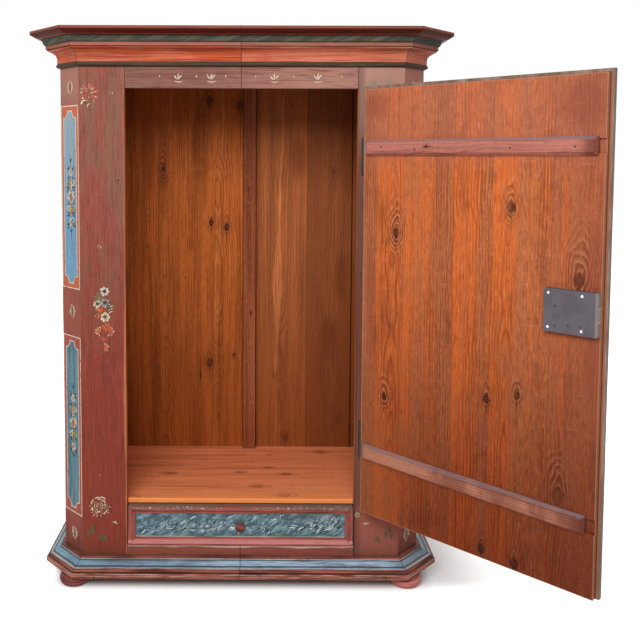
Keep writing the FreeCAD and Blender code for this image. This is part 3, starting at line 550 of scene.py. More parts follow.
wall_red, f = new_finish("wall_red")
colour, marks = brick_red_coat(f, f.where())
x, y, z = f.axes(f.where())
right = f.past(x, 0.0)
colour = f.lay(colour, f.times(f.ramp(z, 1.36, 1.60), right), 0.80, FADED_PINK)
colour = f.lay(colour, f.times(f.ramp(z, 1.00, 0.40), right), 0.50, FADED_BROWN)
traces = f.times(f.spots(x, z, GREEN_TRACES), f.ramp(marks["Hair"], 0.58, 0.44))
colour = f.lay(colour, traces, 0.75, TRACE_GREEN)
colour = f.lay(colour, f.spots(x, z, STILE_SMUDGES), 0.45, PURPLE_STREAK)
colour = f.lay(colour, f.ramp(y, cant_back_y - 0.004, cant_back_y + 0.004), 0.50, SIDE_RED)
colour = f.lay(colour, f.ramp(z, wall_low + 0.10, wall_low + 0.005), 0.45, DIRT)
# On the left stile the paint is rubbed to bare wood along the opening; on the right stile that strip and a
# wider one beside it are darkened instead, as painted shadow of the open door.
ragged = f.add(f.size(x), f.times(f.less(marks["Streak"], 0.5), 0.020))
lower_wear = f.add(f.times(f.ramp(z, 1.12, 0.80), 0.65), 0.30)
rubbed = f.times(f.ramp(ragged, opening_edge + RUBBED_EDGE, opening_edge), lower_wear)
colour = f.mix(rubbed, colour, f.mix(right, BARE_WOOD, DIRT))
door_shadow_strip = f.times(right, f.ramp(x, opening_edge + 0.030, opening_edge + 0.010))
colour = f.lay(colour, door_shadow_strip, 0.45, DIRT)
colour = f.lay(colour, f.spots(x, z, STILE_HOLES), 0.95, KNOT_RIM)
from_peg = f.length(f.less(x, peg_middle.x), f.less(z, peg_middle.z))
colour = f.lay(colour, f.ramp(from_peg, PEG_RING, PEG_RING - 0.002), 0.75, PEG_PALE)
colour = joint_lines(f, colour, f.less(z, bead_low - JOINT_HALF))
colour = bare_inside(f, colour, marks)
close_finish(f, colour, 0.55, f.add(marks["Streak"], marks["Hair"]))
give(wall_red, "stile_left", "stile_right", "side_left", "side_right")

peg_pale, f = new_finish("peg_pale")
x, y, z = f.axes(f.where())
from_middle = f.length(f.less(x, peg_middle.x), f.less(z, peg_middle.z))
worn = f.noise(f.where(), (260, 260, 260), 3.0)
colour = f.mix(f.ramp(from_middle, 0.0035, 0.0055), PEG_HEART, PEG_PALE)
colour = f.lay(colour, f.ramp(worn, 0.52, 0.66), 0.6, BROWN_HAZE)
close_finish(f, colour, 0.6, worn, 0.0004)
give(peg_pale, "stile_peg")

# Rails: a frieze over the door and a low rail under the drawer, each of two boards that meet in the middle.
# The same red is brushed along them and has gone pinkish grey, and the low rail's upper edge is scraped pale.
FRIEZE_BROWN = (0.222, 0.106, 0.083)
FRIEZE_PINK = (0.390, 0.195, 0.150)
SCRAPED = (0.600, 0.430, 0.320)
sill_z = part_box("lower_rail_left")[1].z
rail_red, f = new_finish("rail_red")
x, y, z = f.axes(f.where())
colour, marks = brick_red_coat(f, f.join(z, y, x))
faded = f.mix(f.ramp(x, -0.20, 0.30), FRIEZE_BROWN, FRIEZE_PINK)
faded = f.lay(faded, f.ramp(marks["Streak"], 0.48, 0.66), 0.55, PURPLE_STREAK)
faded = f.lay(faded, f.ramp(marks["Hair"], 0.50, 0.64), 0.55, PIT_BROWN)
colour = f.lay(colour, f.ramp(z, 1.2, 1.6), 0.85, faded)
colour = f.lay(colour, f.ramp(z, 1.2, 0.6), 0.14, FADED_PINK)
below_sill = f.add(f.size(f.less(z, sill_z)), f.times(f.less(marks["Patch"], 0.5), 0.03))
colour = f.lay(colour, f.ramp(below_sill, 0.006, 0.001), 0.9, SCRAPED)
ends = f.less(f.size(x), opening_edge - JOINT_HALF)
colour = joint_lines(f, colour, x, ends, f.less(z, bead_low - JOINT_HALF))
colour = bare_inside(f, colour, marks)
close_finish(f, colour, 0.55, f.add(marks["Streak"], marks["Hair"]))
give(rail_red, "frieze_rail_left", "frieze_rail_right", "lower_rail_left", "lower_rail_right")

# Canted corners: one board each, in the wall's red, with two tall orange-red fields edged in white.
# Each field holds a long blue cartouche with notched corners and a white outline, painted by hand.
CANT_RED = (0.460, 0.145, 0.115)
FIELD_HIGH = (0.540, 0.150, 0.075)
FIELD_LOW = (0.380, 0.085, 0.062)
SKY_BLUE = (0.165, 0.340, 0.505)
SKY_PALE = (0.318, 0.391, 0.414)
DULL_BLUE = (0.108, 0.222, 0.270)
STAINED_BLUE = (0.075, 0.092, 0.080)
LINE_WHITE = (0.800, 0.720, 0.620)
FIELD_MIDDLES = (1.285, 0.5255)
FIELD_HALF = 0.299
FIELD_SIDE_ROOM = 0.004
CARTOUCHE_HALF = (0.0375, 0.2825)
CARTOUCHE_NOTCH = 0.024
LINE_HALF = 0.0015
cant_run = math.hypot(side_x - corner_x, cant_back_y - front_y)
cant_way = ((side_x - corner_x) / cant_run, (cant_back_y - front_y) / cant_run)

cartouche, f, entry = effect("cartouche", ("Across", "Up", "Half width", "Half height", "Notch"))
past_side = f.less(f.size(entry["Across"]), entry["Half width"])
past_end = f.less(f.size(entry["Up"]), entry["Half height"])
box = f.most(past_side, past_end)
f.give_out(Box=box, Distance=f.most(box, f.less(entry["Notch"], f.length(past_side, past_end))))


def painted_line(f, distance, half, wobble):
    """1 on a brushed line round an outline, where the distance to it is under half the line's width."""
    return f.ramp(f.add(f.size(distance), f.times(f.less(wobble, 0.5), half)), half * 1.3, half * 0.7)


def painted_fields(f, colour, marks, across, middles, half, cartouche_half, notch, line_half):
    """Two orange fields one above the other, each with a blue notched cartouche, all outlined in white."""
    z = f.axes(f.where())[2]
    high_up = f.ramp(z, 0.80, 1.05)
    above = f.size(f.less(z, sum(middles) / 2))
    above = f.less(above, (middles[0] - middles[1]) / 2)
    box_inputs = {"Across": across, "Up": above, "Half width": half[0], "Half height": half[1]}
    field = f.use(cartouche, box_inputs)["Box"]
    box_inputs.update({"Half width": cartouche_half[0], "Half height": cartouche_half[1], "Notch": notch})
    blue = f.use(cartouche, box_inputs)["Distance"]
    orange = f.mix(high_up, FIELD_LOW, FIELD_HIGH)
    orange = f.lay(orange, f.ramp(marks["Streak"], 0.46, 0.34), 0.5, RUBBED_RED)
    orange = f.lay(orange, f.ramp(marks["Streak"], 0.52, 0.70), 0.4, PURPLE_STREAK)
    colour = f.lay(colour, f.math("LESS_THAN", field, 0.0), 0.92, orange)
    sky = f.mix(high_up, DULL_BLUE, SKY_BLUE)
    sky = f.lay(sky, f.ramp(z, 1.20, 1.50), 0.75, SKY_PALE)
    sky = f.lay(sky, f.ramp(marks["Streak"], 0.52, 0.64), 0.35, SKY_PALE)
    low_down = f.less(1.0, f.times(high_up, 0.75))
    stained = f.most(f.ramp(marks["Patch"], 0.50, 0.38), f.ramp(marks["Streak"], 0.47, 0.38))
    sky = f.lay(sky, f.times(stained, low_down), 0.72, STAINED_BLUE)
    sky = f.lay(sky, f.ramp(marks["Hair"], 0.52, 0.66), 0.40, STAINED_BLUE)
    inner_shade = f.ramp(blue, -0.0045, -0.0015)
    sky = f.lay(sky, inner_shade, 0.45, STAINED_BLUE)
    colour = f.mix(f.math("LESS_THAN", blue, 0.0), colour, sky)
    white = f.most(
        painted_line(f, field, line_half, marks["Patch"]),
        painted_line(f, blue, line_half, marks["Patch"]),
    )
    kept = f.ramp(marks["Speck"], 0.68, 0.56)
    return f.lay(colour, f.times(white, kept), 0.9, LINE_WHITE), white


cant_paint, f = new_finish("cant_paint")
colour, marks = brick_red_coat(f, f.where())
x, y, z = f.axes(f.where())
colour = f.coats(
    colour,
    (z, 1.52, 1.66, 0.5, FADED_PINK),
    (marks["Patch"], 0.30, 0.60, 0.34, CANT_RED),
    (z, wall_low + 0.16, wall_low + 0.005, 0.60, DIRT),
)
sideways = f.times(f.less(f.size(x), corner_x), cant_way[0])
backwards = f.times(f.less(y, front_y), cant_way[1])
across = f.less(f.add(sideways, backwards), cant_run / 2)
field_half = (cant_run / 2 - FIELD_SIDE_ROOM, FIELD_HALF)
colour, white = painted_fields(
    f, colour, marks, across, FIELD_MIDDLES, field_half, CARTOUCHE_HALF, CARTOUCHE_NOTCH, LINE_HALF
)
colour = bare_inside(f, colour, marks)
close_finish(f, colour, 0.52, f.add(marks["Streak"], f.times(white, 0.5)))
give(cant_paint, "cant_left", "cant_right")

# Painted flowers on stiles, corners and frieze: free brush strokes in lime colour, each a small ridge of
# paint that tapers to its ends. Age has flaked them, so the red shows through here and there.
PALETTE = {
    "cream": (0.66, 0.56, 0.40),
    "white": (0.56, 0.53, 0.46),
    "grey": (0.19, 0.20, 0.20),
    "black": (0.034, 0.034, 0.036),
    "red": (0.50, 0.075, 0.050),
    "orange": (0.56, 0.130, 0.045),
    "rose": (0.56, 0.21, 0.155),
    "ochre": (0.44, 0.30, 0.10),
    "olive": (0.185, 0.150, 0.070),
    "leaf": (0.085, 0.095, 0.045),
    "deep_blue": (0.026, 0.052, 0.066),
    "tan": (0.270, 0.130, 0.078),
    "moss": (0.108, 0.088, 0.042),
}
PAINT_PROUD = 0.00035
PAINT_SUNK = 0.00025
STROKE_PARTS = 8
STROKE_TIP = 0.30
MM = 0.001
hand = np.random.default_rng(7)


def stroke(start, end, width, colour, bend=0.0):
    """One brush stroke between two points of a board, in millimetres; bend bows it to its left."""
    return (*start, *end, width, bend, *PALETTE[colour])


def dab(u, v, size, colour):
    return stroke((u - size * 0.3, v), (u + size * 0.3, v), size, colour)


def petals(u, v, inner, outer, count, width, colour, turn=0.0, bend=0.0, sweep=360.0):
    """Strokes that radiate from a point, from the inner to the outer radius, over a sweep in degrees."""
    made = []
    for i in range(count):
        angle = math.radians(turn + sweep * i / count + hand.uniform(-8, 8))
        reach = outer * hand.uniform(0.85, 1.12)
        way = (math.cos(angle), math.sin(angle))
        start = (u + way[0] * inner, v + way[1] * inner)
        made.append(stroke(start, (u + way[0] * reach, v + way[1] * reach), width, colour, bend))
    return made


def daisy(u, v, radius, petal, heart, count=6):
    """Rounded petals with a darker inner stroke each, round a dark heart."""
    made = petals(u, v, radius * 0.30, radius, count, radius * 0.60, petal)
    made += petals(u, v, radius * 0.18, radius * 0.66, count, radius * 0.22, heart)
    return made + [dab(u, v, radius * 0.46, heart), dab(u, v + radius * 0.05, radius * 0.20, "ochre")]


def half_blossom(u, v, radius, turn, colour, tips):
    """An open flower seen from the side: petals over half a turn with pale tips."""
    made = petals(u, v, radius * 0.15, radius * 0.85, 5, radius * 0.36, colour, turn, sweep=180.0)
    return made + petals(u, v, radius * 0.72, radius * 1.12, 6, radius * 0.24, tips, turn - 10, 2.0, 200.0)


def spiral_rose(u, v, radius, light, dark):
    """A round rose: short arcs that follow each other round a spiral, dark inside and light outside."""
    made = petals(u, v, radius * 0.1, radius * 0.7, 5, radius * 0.36, dark)
    for i in range(26):
        angle = i * 0.88 + hand.uniform(-0.3, 0.3)
        reach = radius * (0.14 + 0.032 * i) * hand.uniform(0.86, 1.12)
        sweep = hand.uniform(0.5, 1.0)
        ends = [(u + math.cos(a) * reach, v + math.sin(a) * reach) for a in (angle, angle + sweep)]
        tint = "olive" if i % 4 == 1 else light
        made.append(stroke(*ends, radius * hand.uniform(0.07, 0.17), tint, -reach * 0.16 * sweep))
    return made


def tick_globe(u, v, radius, colours, count):
    """A full round flower of short ticks that point away from its middle, in mixed colours."""
    made = []
    for i in range(count):
        angle = hand.uniform(0, 2 * math.pi)
        reach = radius * math.sqrt(hand.uniform(0.01, 0.85))
        way = (math.cos(angle), math.sin(angle))
        start = (u + way[0] * reach, v + way[1] * reach)
        end = (start[0] + way[0] * radius * 0.26, start[1] + way[1] * radius * 0.26)
        made.append(stroke(start, end, radius * hand.uniform(0.07, 0.16), colours[i % len(colours)]))
    return made


def leaf_spray(u, v, length, turn, count, colour):
    """Pointed leaves that fan out from a point over a third of a turn."""
    return petals(u, v, length * 0.1, length, count, length * 0.26, colour, turn, 2.0, 120.0)


def stile_bouquets():
    """The flowers of the left stile, by distance from the middle of the case and height, in millimetres."""
    made = tick_globe(-489, 1622, 29, ("red", "rose", "orange", "red", "rose", "red", "cream"), 64)
    made += [
        stroke((-516, 1586), (-499, 1601), 6.0, "cream", 3.0),
        stroke((-511, 1596), (-498, 1590), 5.0, "black", 2.0),
        stroke((-494, 1578), (-486, 1590), 3.0, "cream", 3.0),
        stroke((-522, 1608), (-512, 1612), 3.0, "olive"),
        stroke((-416, 1626), (-412, 1620), 2.4, "white"),
        stroke((-466, 1122), (-457, 1133), 3.0, "rose", 4.0),
        stroke((-459, 1122), (-454, 1128), 2.5, "cream"),
    ]
    made += leaf_spray(-452, 958, 28, 140, 4, "olive") + leaf_spray(-438, 928, 24, -40, 4, "leaf")
    made += leaf_spray(-462, 915, 22, 160, 3, "leaf")
    made += petals(-458, 908, 4, 22, 6, 7.0, "orange", 70, sweep=200.0)
    made += petals(-438, 862, 3, 17, 7, 5.0, "orange")
    made += petals(-446, 830, 3, 16, 5, 4.0, "red", 200, sweep=160.0)
    made += daisy(-444, 981, 16, "white", "black", 7)
    made += daisy(-468, 940, 14, "white", "black", 7) + daisy(-443, 944, 13, "grey", "black", 7)
    made += petals(-443, 944, 9, 16, 7, 4.0, "white", 25)
    made += daisy(-443, 897, 17, "cream", "leaf", 7)
    for drop in (0, 9, 18):
        made.append(stroke((-431, 926 - drop), (-415, 933 - drop), 3.2, "cream", 3.0))
    made += half_blossom(-459, 848, 15, 90, "orange", "cream")
    made += half_blossom(-430, 850, 15, -90, "red", "cream")
    made += half_blossom(-446, 797, 14, -80, "orange", "cream")
    made += [
        stroke((-448, 836), (-446, 812), 2.2, "olive"),
        stroke((-476, 772), (-471, 769), 3.0, "rose"),
        stroke((-466, 372), (-461, 363), 2.4, "rose"),
        stroke((-461, 356), (-458, 350), 2.0, "red"),
    ]
    made += spiral_rose(-467, 264, 34, "cream", "tan")
    made += petals(-467, 264, 29, 39, 11, 2.2, "white", 170, sweep=200.0)
    for u, v in ((-496, 182), (-486, 174), (-502, 168), (-494, 190), (-456, 160), (-448, 154), (-462, 152)):
        made.append(dab(u + hand.uniform(-3, 3), v + hand.uniform(-3, 3), hand.uniform(13, 21), "moss"))
    made += petals(-417, 205, 2, 10, 5, 2.2, "cream", 0, sweep=180.0)
    return made


def bud(u, v):
    """A closed round flower: an olive heart inside two bowed cream shells, with loose ticks round it."""
    made = [stroke((u, v - 15), (u, v + 15), 17.0, "tan")]
    made += [stroke((u - 3, v - 12), (u - 1, v + 11), 6.5, "olive")]
    for side, reach, width in ((-1, 20, 6.0), (1, 18, 5.0)):
        low, high = (u + 4 * side, v - reach), (u + 2 * side, v + reach)
        made.append(stroke(low, high, width, "cream", -10.0 * side))
    for _ in range(9):
        angle = hand.uniform(0, 2 * math.pi)
        tick = (u + 15 * math.cos(angle), v + 20 * math.sin(angle))
        made.append(stroke(tick, (tick[0] + hand.uniform(2, 6), tick[1] + hand.uniform(-4, 4)), 3.0, "white"))
    made.append(stroke((u + 2, v - 6), (u + 4, v + 6), 3.6, "cream", -2.0))
    return made + [stroke((u - 8, v - 27), (u + 1, v - 22), 3.2, "rose", 2.0)]


def garland(u, middle, scale):
    """Flowers one above another on a stem, by distance across a board and height, in millimetres."""
    made = []
    step = 40 * scale
    reach = 1.2 * step
    for level in (2.3, -3.5):
        foot = middle + level * step
        made.append(stroke((u, foot), (u + 2 * scale, foot + reach), 2.6 * scale, "deep_blue", 2.0))
        for side in (-1, 1):
            tip = (u + 10 * side * scale, foot + reach * 0.75)
            made.append(stroke((u, foot + reach * 0.45), tip, 4.0 * scale, "deep_blue", 1.5 * side))
    for level in (2.3, 1.5, 0.75, -0.55, -1.4, -2.3):
        for side, turn in ((-1, 110), (1, -50)):
            length, turn = 20 * scale * hand.uniform(0.7, 1.2), turn + hand.uniform(-35, 35)
            made += leaf_spray(u + 6 * side * scale, middle + level * step, length, turn, 3, "deep_blue")
    made.append(stroke((u, middle - 2.4 * step), (u, middle + 2.4 * step), 2.6 * scale, "deep_blue"))
    for level, away, radius, petal, heart in (
        (2.05, -1, 14, "cream", "ochre"),
        (1.20, -11, 13, "cream", "olive"),
        (1.10, 11, 13, "ochre", "olive"),
        (0.80, 1, 10, "cream", "ochre"),
        (0.0, 0, 21, "cream", "red"),
        (0.0, 0, 17, "rose", "red"),
        (-0.85, -12, 13, "ochre", "olive"),
        (-0.95, 12, 13, "cream", "olive"),
        (-1.20, 0, 11, "ochre", "red"),
        (-2.05, 0, 15, "cream", "red"),
    ):
        made += daisy(u + away * scale, middle + level * step, radius * scale, petal, heart)
    for _ in range(18):
        level = hand.uniform(-2.4, 2.3)
        made.append(dab(u + hand.uniform(-19, 19) * scale, middle + level * step, 4.2 * scale, "cream"))
    return made


def frieze_sprigs():
    """Cream dots with a three-stroke sprig between them, along both frieze boards, in millimetres."""
    made = []
    for u in (-262, -144, -50, 46, 168, 322):
        made.append(dab(u, 1677, 6.0, "cream"))
    for u in (-202, -96, 106, 246):
        made += petals(u, 1666, 2, 21, 3, 4.0, "cream", 50, 2.0, 120.0)
        made.append(stroke((u - 14, 1662), (u + 15, 1662), 2.8, "cream", -3.0))
    return made


STROKE_SECTION = np.array([(-1, -1), (-1, 0.3), (-0.5, 1), (0.5, 1), (1, 0.3), (1, -1)], float)


def paint_strokes(name, body, strokes, place, material):
    """Each stroke is a closed ridge: a six-sided section is carried along the line from start to end, which
    bows by bend times sin(pi s). The section's half width grows as sin(pi s) from blunt ends, and its foot is
    in the board. A mirrored board turns the ridges inside out, so their faces are turned round again."""
    table = np.array(strokes, float)
    start, end = table[:, None, None, 0:2] * MM, table[:, None, None, 2:4] * MM
    width, bend = table[:, None, None, 4] * MM, table[:, None, None, 5] * MM
    s = np.linspace(0, 1, STROKE_PARTS)[None, :, None]
    aside, rise = STROKE_SECTION[None, None, :, 0], STROKE_SECTION[None, None, :, 1]
    run = end - start
    left = np.stack([-run[..., 1], run[..., 0]], -1) / np.linalg.norm(run, axis=-1, keepdims=True)
    swell = np.sin(np.pi * s)
    sideways = bend * swell + width / 2 * (STROKE_TIP + (1 - STROKE_TIP) * swell) * aside
    flat = start + run * s[..., None] + left * sideways[..., None]
    proud = np.where(rise > 0, rise * PAINT_PROUD, rise * PAINT_SUNK) + 0 * sideways
    points = place(flat[..., 0], flat[..., 1], proud).reshape(-1, 3)
    faces = ring_faces(len(table), STROKE_PARTS, len(STROKE_SECTION))
    corners = place(*np.eye(4)[1:])
    if np.linalg.det(corners[1:] - corners[0]) < 0:
        faces = [face[::-1] for face in faces]
    mesh = add_piece(name, body, points, faces, material)
    tint = mesh.color_attributes.new("paint", "FLOAT_COLOR", "POINT")
    rgba = np.ones((len(table), STROKE_PARTS * len(STROKE_SECTION), 4), np.float32)
    rgba[..., :3] = table[:, None, 6:9]
    tint.data.foreach_set("color", rgba.ravel())


def stroke_finish(name, ground):
    """Lime colour in each stroke's own tint, flaked off in spots to the ground under it."""
    material, f = new_finish(name)
    own = f.node("Attribute", {}, attribute_name="paint").outputs["Color"]
    marks = f.use(brushed_paint, {"Place": f.where()})
    flaked = f.ramp(f.noise(f.where(), (170, 170, 170), 3.0, 0.6), 0.55, 0.66)
    colour = f.lay(own, flaked, 0.70, ground)
    colour = f.lay(colour, f.ramp(marks["Speck"], 0.52, 0.70), 0.40, ground)
    close_finish(f, colour, 0.55, marks["Speck"], 0.0003)
    return material


flower_paint = stroke_finish("flower_paint", BROWN_HAZE)


def on_front(sign):
    """Places strokes on the front of the stiles and rails, or mirrored on the other stile."""
    return lambda u, v, proud: np.stack([u * sign, front_y - proud, v], -1)


def on_cant(sign):
    """Places strokes on a canted corner: u runs from the stile's arris back along the board."""
    def place(u, v, proud):
        x = corner_x + u * cant_way[0] + proud * cant_way[1]
        y = front_y + u * cant_way[1] - proud * cant_way[0]
        return np.stack([x * sign, y, v], -1)
    return place


for name, sign in (("left", -1), ("right", 1)):
    bouquets = stile_bouquets()
    paint_strokes("stile_flowers_" + name, "case", bouquets, on_front(-sign), flower_paint)
    corner_flowers = garland(52, 1286, 1.0) + garland(52, 532, 1.0)
    for level in (1646, 909, 156):
        corner_flowers += bud(51, level)
    paint_strokes("corner_flowers_" + name, "case", corner_flowers, on_cant(sign), flower_paint)
paint_strokes("frieze_sprigs", "case", frieze_sprigs(), on_front(1), flower_paint)

# Cornice: a crown, a broad cove and a small bead of planed wood on each half, mitred round its canted
# corner. Painted in bands: burgundy, dark red, green with slanting strokes, pale red, orange-red, green.
BURGUNDY = (0.228, 0.070, 0.048)
DARK_RED_SHADED = (0.076, 0.009, 0.004)
RED_ARRIS = (0.280, 0.062, 0.046)
BOTTLE_GREEN = (0.055, 0.060, 0.044)
GREEN_STROKE = (0.115, 0.108, 0.076)
PALE_RED = (0.320, 0.125, 0.080)
COVE_ORANGE = (0.470, 0.090, 0.036)
COVE_PALE = (0.600, 0.188, 0.112)
COVE_DARK = (0.240, 0.040, 0.022)
BEAD_GREEN = (0.060, 0.036, 0.024)
PALE_FILLET = 0.0115
GREEN_BAND = 0.0325
DARK_BAND = 0.0480
crown_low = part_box("crown_left")[0].z
cant_out = (cant_way[1], -cant_way[0])


def round_the_case(f):
    """The point on a moulding that goes round the case: its height first, and last its run along the wall."""
    x, y, z = f.axes(f.where())
    run = f.add(f.least(f.size(x), side_x), f.most(f.less(y, front_y), 0.0))
    run = f.add(run, f.times(f.past(x, 0.0), 7.0))
    return f.join(z, 0.0, run)


def mitred(f, colour):
    """Dark hairlines at a moulding's joint in the middle and at its mitres round both canted corners."""
    x, y, z = f.axes(f.where())
    distances = [x]
    for corner, first, second in (
        ((corner_x, front_y), (0.0, -1.0), cant_out),
        ((side_x, cant_back_y), cant_out, (1.0, 0.0)),
    ):
        way = Vector((first[0] + second[0], first[1] + second[1])).normalized()
        beside = f.times(f.less(f.size(x), corner[0]), way.y)
        distances.append(f.less(beside, f.times(f.less(y, corner[1]), way.x)))
    return joint_lines(f, colour, *distances)


crown_paint, f = new_finish("crown_paint")
marks = f.use(brushed_paint, {"Place": round_the_case(f)})
x, y, z = f.axes(f.where())
level = f.add(f.less(z, crown_low), f.times(f.less(marks["Patch"], 0.5), 0.0016))
slant = f.join(f.less(x, f.times(z, 2.6)), f.add(z, f.times(x, 0.3)), y)
slashes = f.ramp(f.noise(slant, (24, 10, 3), 2.0, 0.6), 0.44, 0.66)
green = f.mix(slashes, BOTTLE_GREEN, GREEN_STROKE)
colour = f.mix(f.past(level, PALE_FILLET), PALE_RED, green)
# The ovolo band under the top fillet is painted a near-black red, partly as painted shade.
colour = f.mix(f.past(level, GREEN_BAND), colour, DARK_RED_SHADED)
colour = f.lay(colour, f.ramp(f.size(f.less(level, GREEN_BAND + 0.0012)), 0.0014, 0.0006), 0.8, RED_ARRIS)
colour = f.mix(f.past(level, DARK_BAND), colour, BURGUNDY)
colour = f.lay(colour, f.ramp(marks["Streak"], 0.48, 0.68), 0.35, PIT_BROWN)
colour = f.lay(colour, f.ramp(marks["Hair"], 0.52, 0.70), 0.30, PIT_BROWN)
rubbed = f.ramp(f.add(f.size(f.less(level, PALE_FILLET)), f.times(marks["Speck"], 0.004)), 0.0034, 0.0016)
colour = f.lay(colour, rubbed, 0.35, SCRAPED)
# Dark lines at the crown's foot, where it meets the cove, and along both edges of the green band: painted
# shade in the quirks, drawn with the joint lines.
colour = joint_lines(f, colour, level, f.less(level, PALE_FILLET + 0.0014), f.less(level, GREEN_BAND - 0.001))
colour = mitred(f, colour)
close_finish(f, colour, 0.5, f.add(marks["Streak"], marks["Hair"]))
give(crown_paint, "crown_left", "crown_right")

cove_paint, f = new_finish("cove_paint")
place = round_the_case(f)
marks = f.use(brushed_paint, {"Place": place})
x, y, z = f.axes(f.where())
lighter = f.add(f.times(f.ramp(x, -0.15, 0.25), 0.22), marks["Patch"])
colour = f.lay(COVE_ORANGE, f.ramp(lighter, 0.46, 0.72), 0.75, COVE_PALE)
lines = f.ramp(f.noise(place, (240, 1.0, 3.4), 4.0, 0.65), 0.48, 0.62)
colour = f.lay(colour, lines, 0.75, COVE_DARK)
pale = f.ramp(f.noise(place, (330, 1.0, 5.0), 3.0, 0.6), 0.56, 0.68)
colour = f.lay(colour, pale, 0.45, SCRAPED)
colour = f.lay(colour, f.ramp(marks["Speck"], 0.66, 0.74), 0.6, PIT_BROWN)
# Dark lines at the cove's top and foot, where it meets the crown and the bead: the joints, deepened as
# painted shade under the overhangs.
colour = joint_lines(f, colour, f.less(z, crown_low), f.less(z, bead_high))
colour = mitred(f, colour)
close_finish(f, colour, 0.48, lines, 0.0006)
give(cove_paint, "cove_left", "cove_right")

bead_paint, f = new_finish("bead_paint")
marks = f.use(brushed_paint, {"Place": round_the_case(f)})
z = f.axes(f.where())[2]
# The pale green line along the top of the bead is a painted highlight.
colour = f.coats(
    BEAD_GREEN,
    (marks["Streak"], 0.45, 0.68, 0.5, GREEN_STROKE),
    (marks["Speck"], 0.62, 0.72, 0.5, BROWN_HAZE),
    (z, bead_high - 0.0030, bead_high - 0.0015, 0.6, GREEN_STROKE),
)
colour = mitred(f, colour)
close_finish(f, colour, 0.5, marks["Streak"], 0.0004)
give(bead_paint, "bead_left", "bead_right")

# Plinth: a sloping moulding planted round the foot of the case, painted grey-blue between rubbed arrises,
# on a base frame with a rounded nose, stained red and scraped pale along its grain. Turned bun feet carry it;
# the left pair is in a darker red as painted shade and the right pair in a lighter red as painted light.
PLINTH_BLUE = (0.215, 0.328, 0.450)
PLINTH_PALE = (0.385, 0.530, 0.670)
PLINTH_DIRT = (0.090, 0.096, 0.090)
BASE_RED = (0.390, 0.124, 0.088)
BASE_DARK = (0.120, 0.034, 0.026)
FOOT_SHADED_RED = (0.360, 0.104, 0.092)
FOOT_LIT_RED = (0.690, 0.220, 0.176)
BLUE_FROM = 0.0090
BLUE_TO = 0.0065
ARRIS_HALF = 0.0009
BLOCK_JOINT_X = 0.475
slope_low, slope_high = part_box("plinth_slope_left")[0].z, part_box("plinth_slope_left")[1].z
base_low, base_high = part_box("base_strips_left")[0].z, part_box("base_strips_left")[1].z
slope_paint, f = new_finish("slope_paint")
marks = f.use(brushed_paint, {"Place": round_the_case(f)})
x, y, z = f.axes(f.where())
lighter = f.add(f.times(f.ramp(x, -0.05, 0.30), 0.30), marks["Patch"])
blue = f.coats(
    PLINTH_BLUE,
    (lighter, 0.42, 0.66, 0.9, PLINTH_PALE),
    (marks["Streak"], 0.50, 0.64, 0.60, PLINTH_DIRT),
    (marks["Hair"], 0.50, 0.62, 0.55, PLINTH_DIRT),
    (x, corner_x - 0.06, corner_x + 0.02, 0.52, PLINTH_DIRT),
    (x, 0.04 - corner_x, -0.03 - corner_x, 0.60, DULL_BLUE),
    (marks["Speck"], 0.66, 0.74, 0.7, SCRAPED),
)
red = f.mix(f.ramp(marks["Streak"], 0.36, 0.62), BASE_RED, BASE_DARK)
red = f.lay(red, f.ramp(f.facing()[2], 0.85, 0.97), 0.55, DIRT)
waver = f.times(f.less(marks["Patch"], 0.5), 0.002)
above_foot = f.add(f.less(z, slope_low), waver)
below_top = f.add(f.less(slope_high, z), waver)
colour = f.mix(f.past(above_foot, BLUE_FROM), red, blue)
colour = f.mix(f.past(below_top, BLUE_TO), red, colour)
arris = 0.0
for distance in (f.less(above_foot, BLUE_FROM), f.less(below_top, BLUE_TO)):
    arris = f.most(arris, f.ramp(f.size(distance), ARRIS_HALF * 1.4, ARRIS_HALF * 0.6))
worn = f.times(f.ramp(marks["Speck"], 0.66, 0.46), f.ramp(marks["Patch"], 0.30, 0.52))
colour = f.lay(colour, f.times(arris, worn), 0.65, SCRAPED)
dirty = (f.less(above_foot, BLUE_FROM + 0.003), f.less(below_top, BLUE_TO + 0.003), above_foot)
colour = joint_lines(f, colour, *dirty)
colour = mitred(f, colour)
close_finish(f, colour, 0.48, f.add(marks["Streak"], marks["Hair"]))
give(slope_paint, "plinth_slope_left", "plinth_slope_right")


def base_red(name, red, jointed=False, wear=0.75):
    """Red stain over pine: dark in the hollows, scraped to pale wood in short streaks along the run."""
    material, f = new_finish(name)
    marks = f.use(brushed_paint, {"Place": round_the_case(f)})
    colour = f.mix(f.ramp(marks["Streak"], 0.40, 0.62), red, BASE_DARK)
    colour = f.lay(colour, f.ramp(marks["Hair"], 0.50, 0.62), 0.60, BASE_DARK)
    bare = f.times(f.ramp(marks["Patch"], 0.50, 0.62), f.ramp(marks["Hair"], 0.52, 0.42))
    colour = f.lay(colour, bare, wear, BARE_WOOD)
    colour = f.lay(colour, f.ramp(marks["Speck"], 0.64, 0.72), 0.6, PIT_BROWN)
    if jointed:
        x, y, z = f.axes(f.where())
        waver = f.times(f.less(marks["Patch"], 0.5), 0.006)
        for edge in (base_low + 0.002, base_low + 0.011, base_high - 0.004):
            worn = f.ramp(f.size(f.add(f.less(z, edge), waver)), 0.0016, 0.0006)
            colour = f.lay(colour, f.times(worn, f.ramp(marks["Hair"], 0.56, 0.46)), 0.7, SCRAPED)
        colour = joint_lines(f, colour, x, f.less(f.size(x), BLOCK_JOINT_X), f.less(z, base_high - 0.0008))
    close_finish(f, colour, 0.5, f.add(marks["Streak"], marks["Hair"]))
    return material


base_paint = base_red("base_red", BASE_RED, True)
give(base_paint, "base_strips_left", "base_strips_right", "corner_block_left", "corner_block_right")
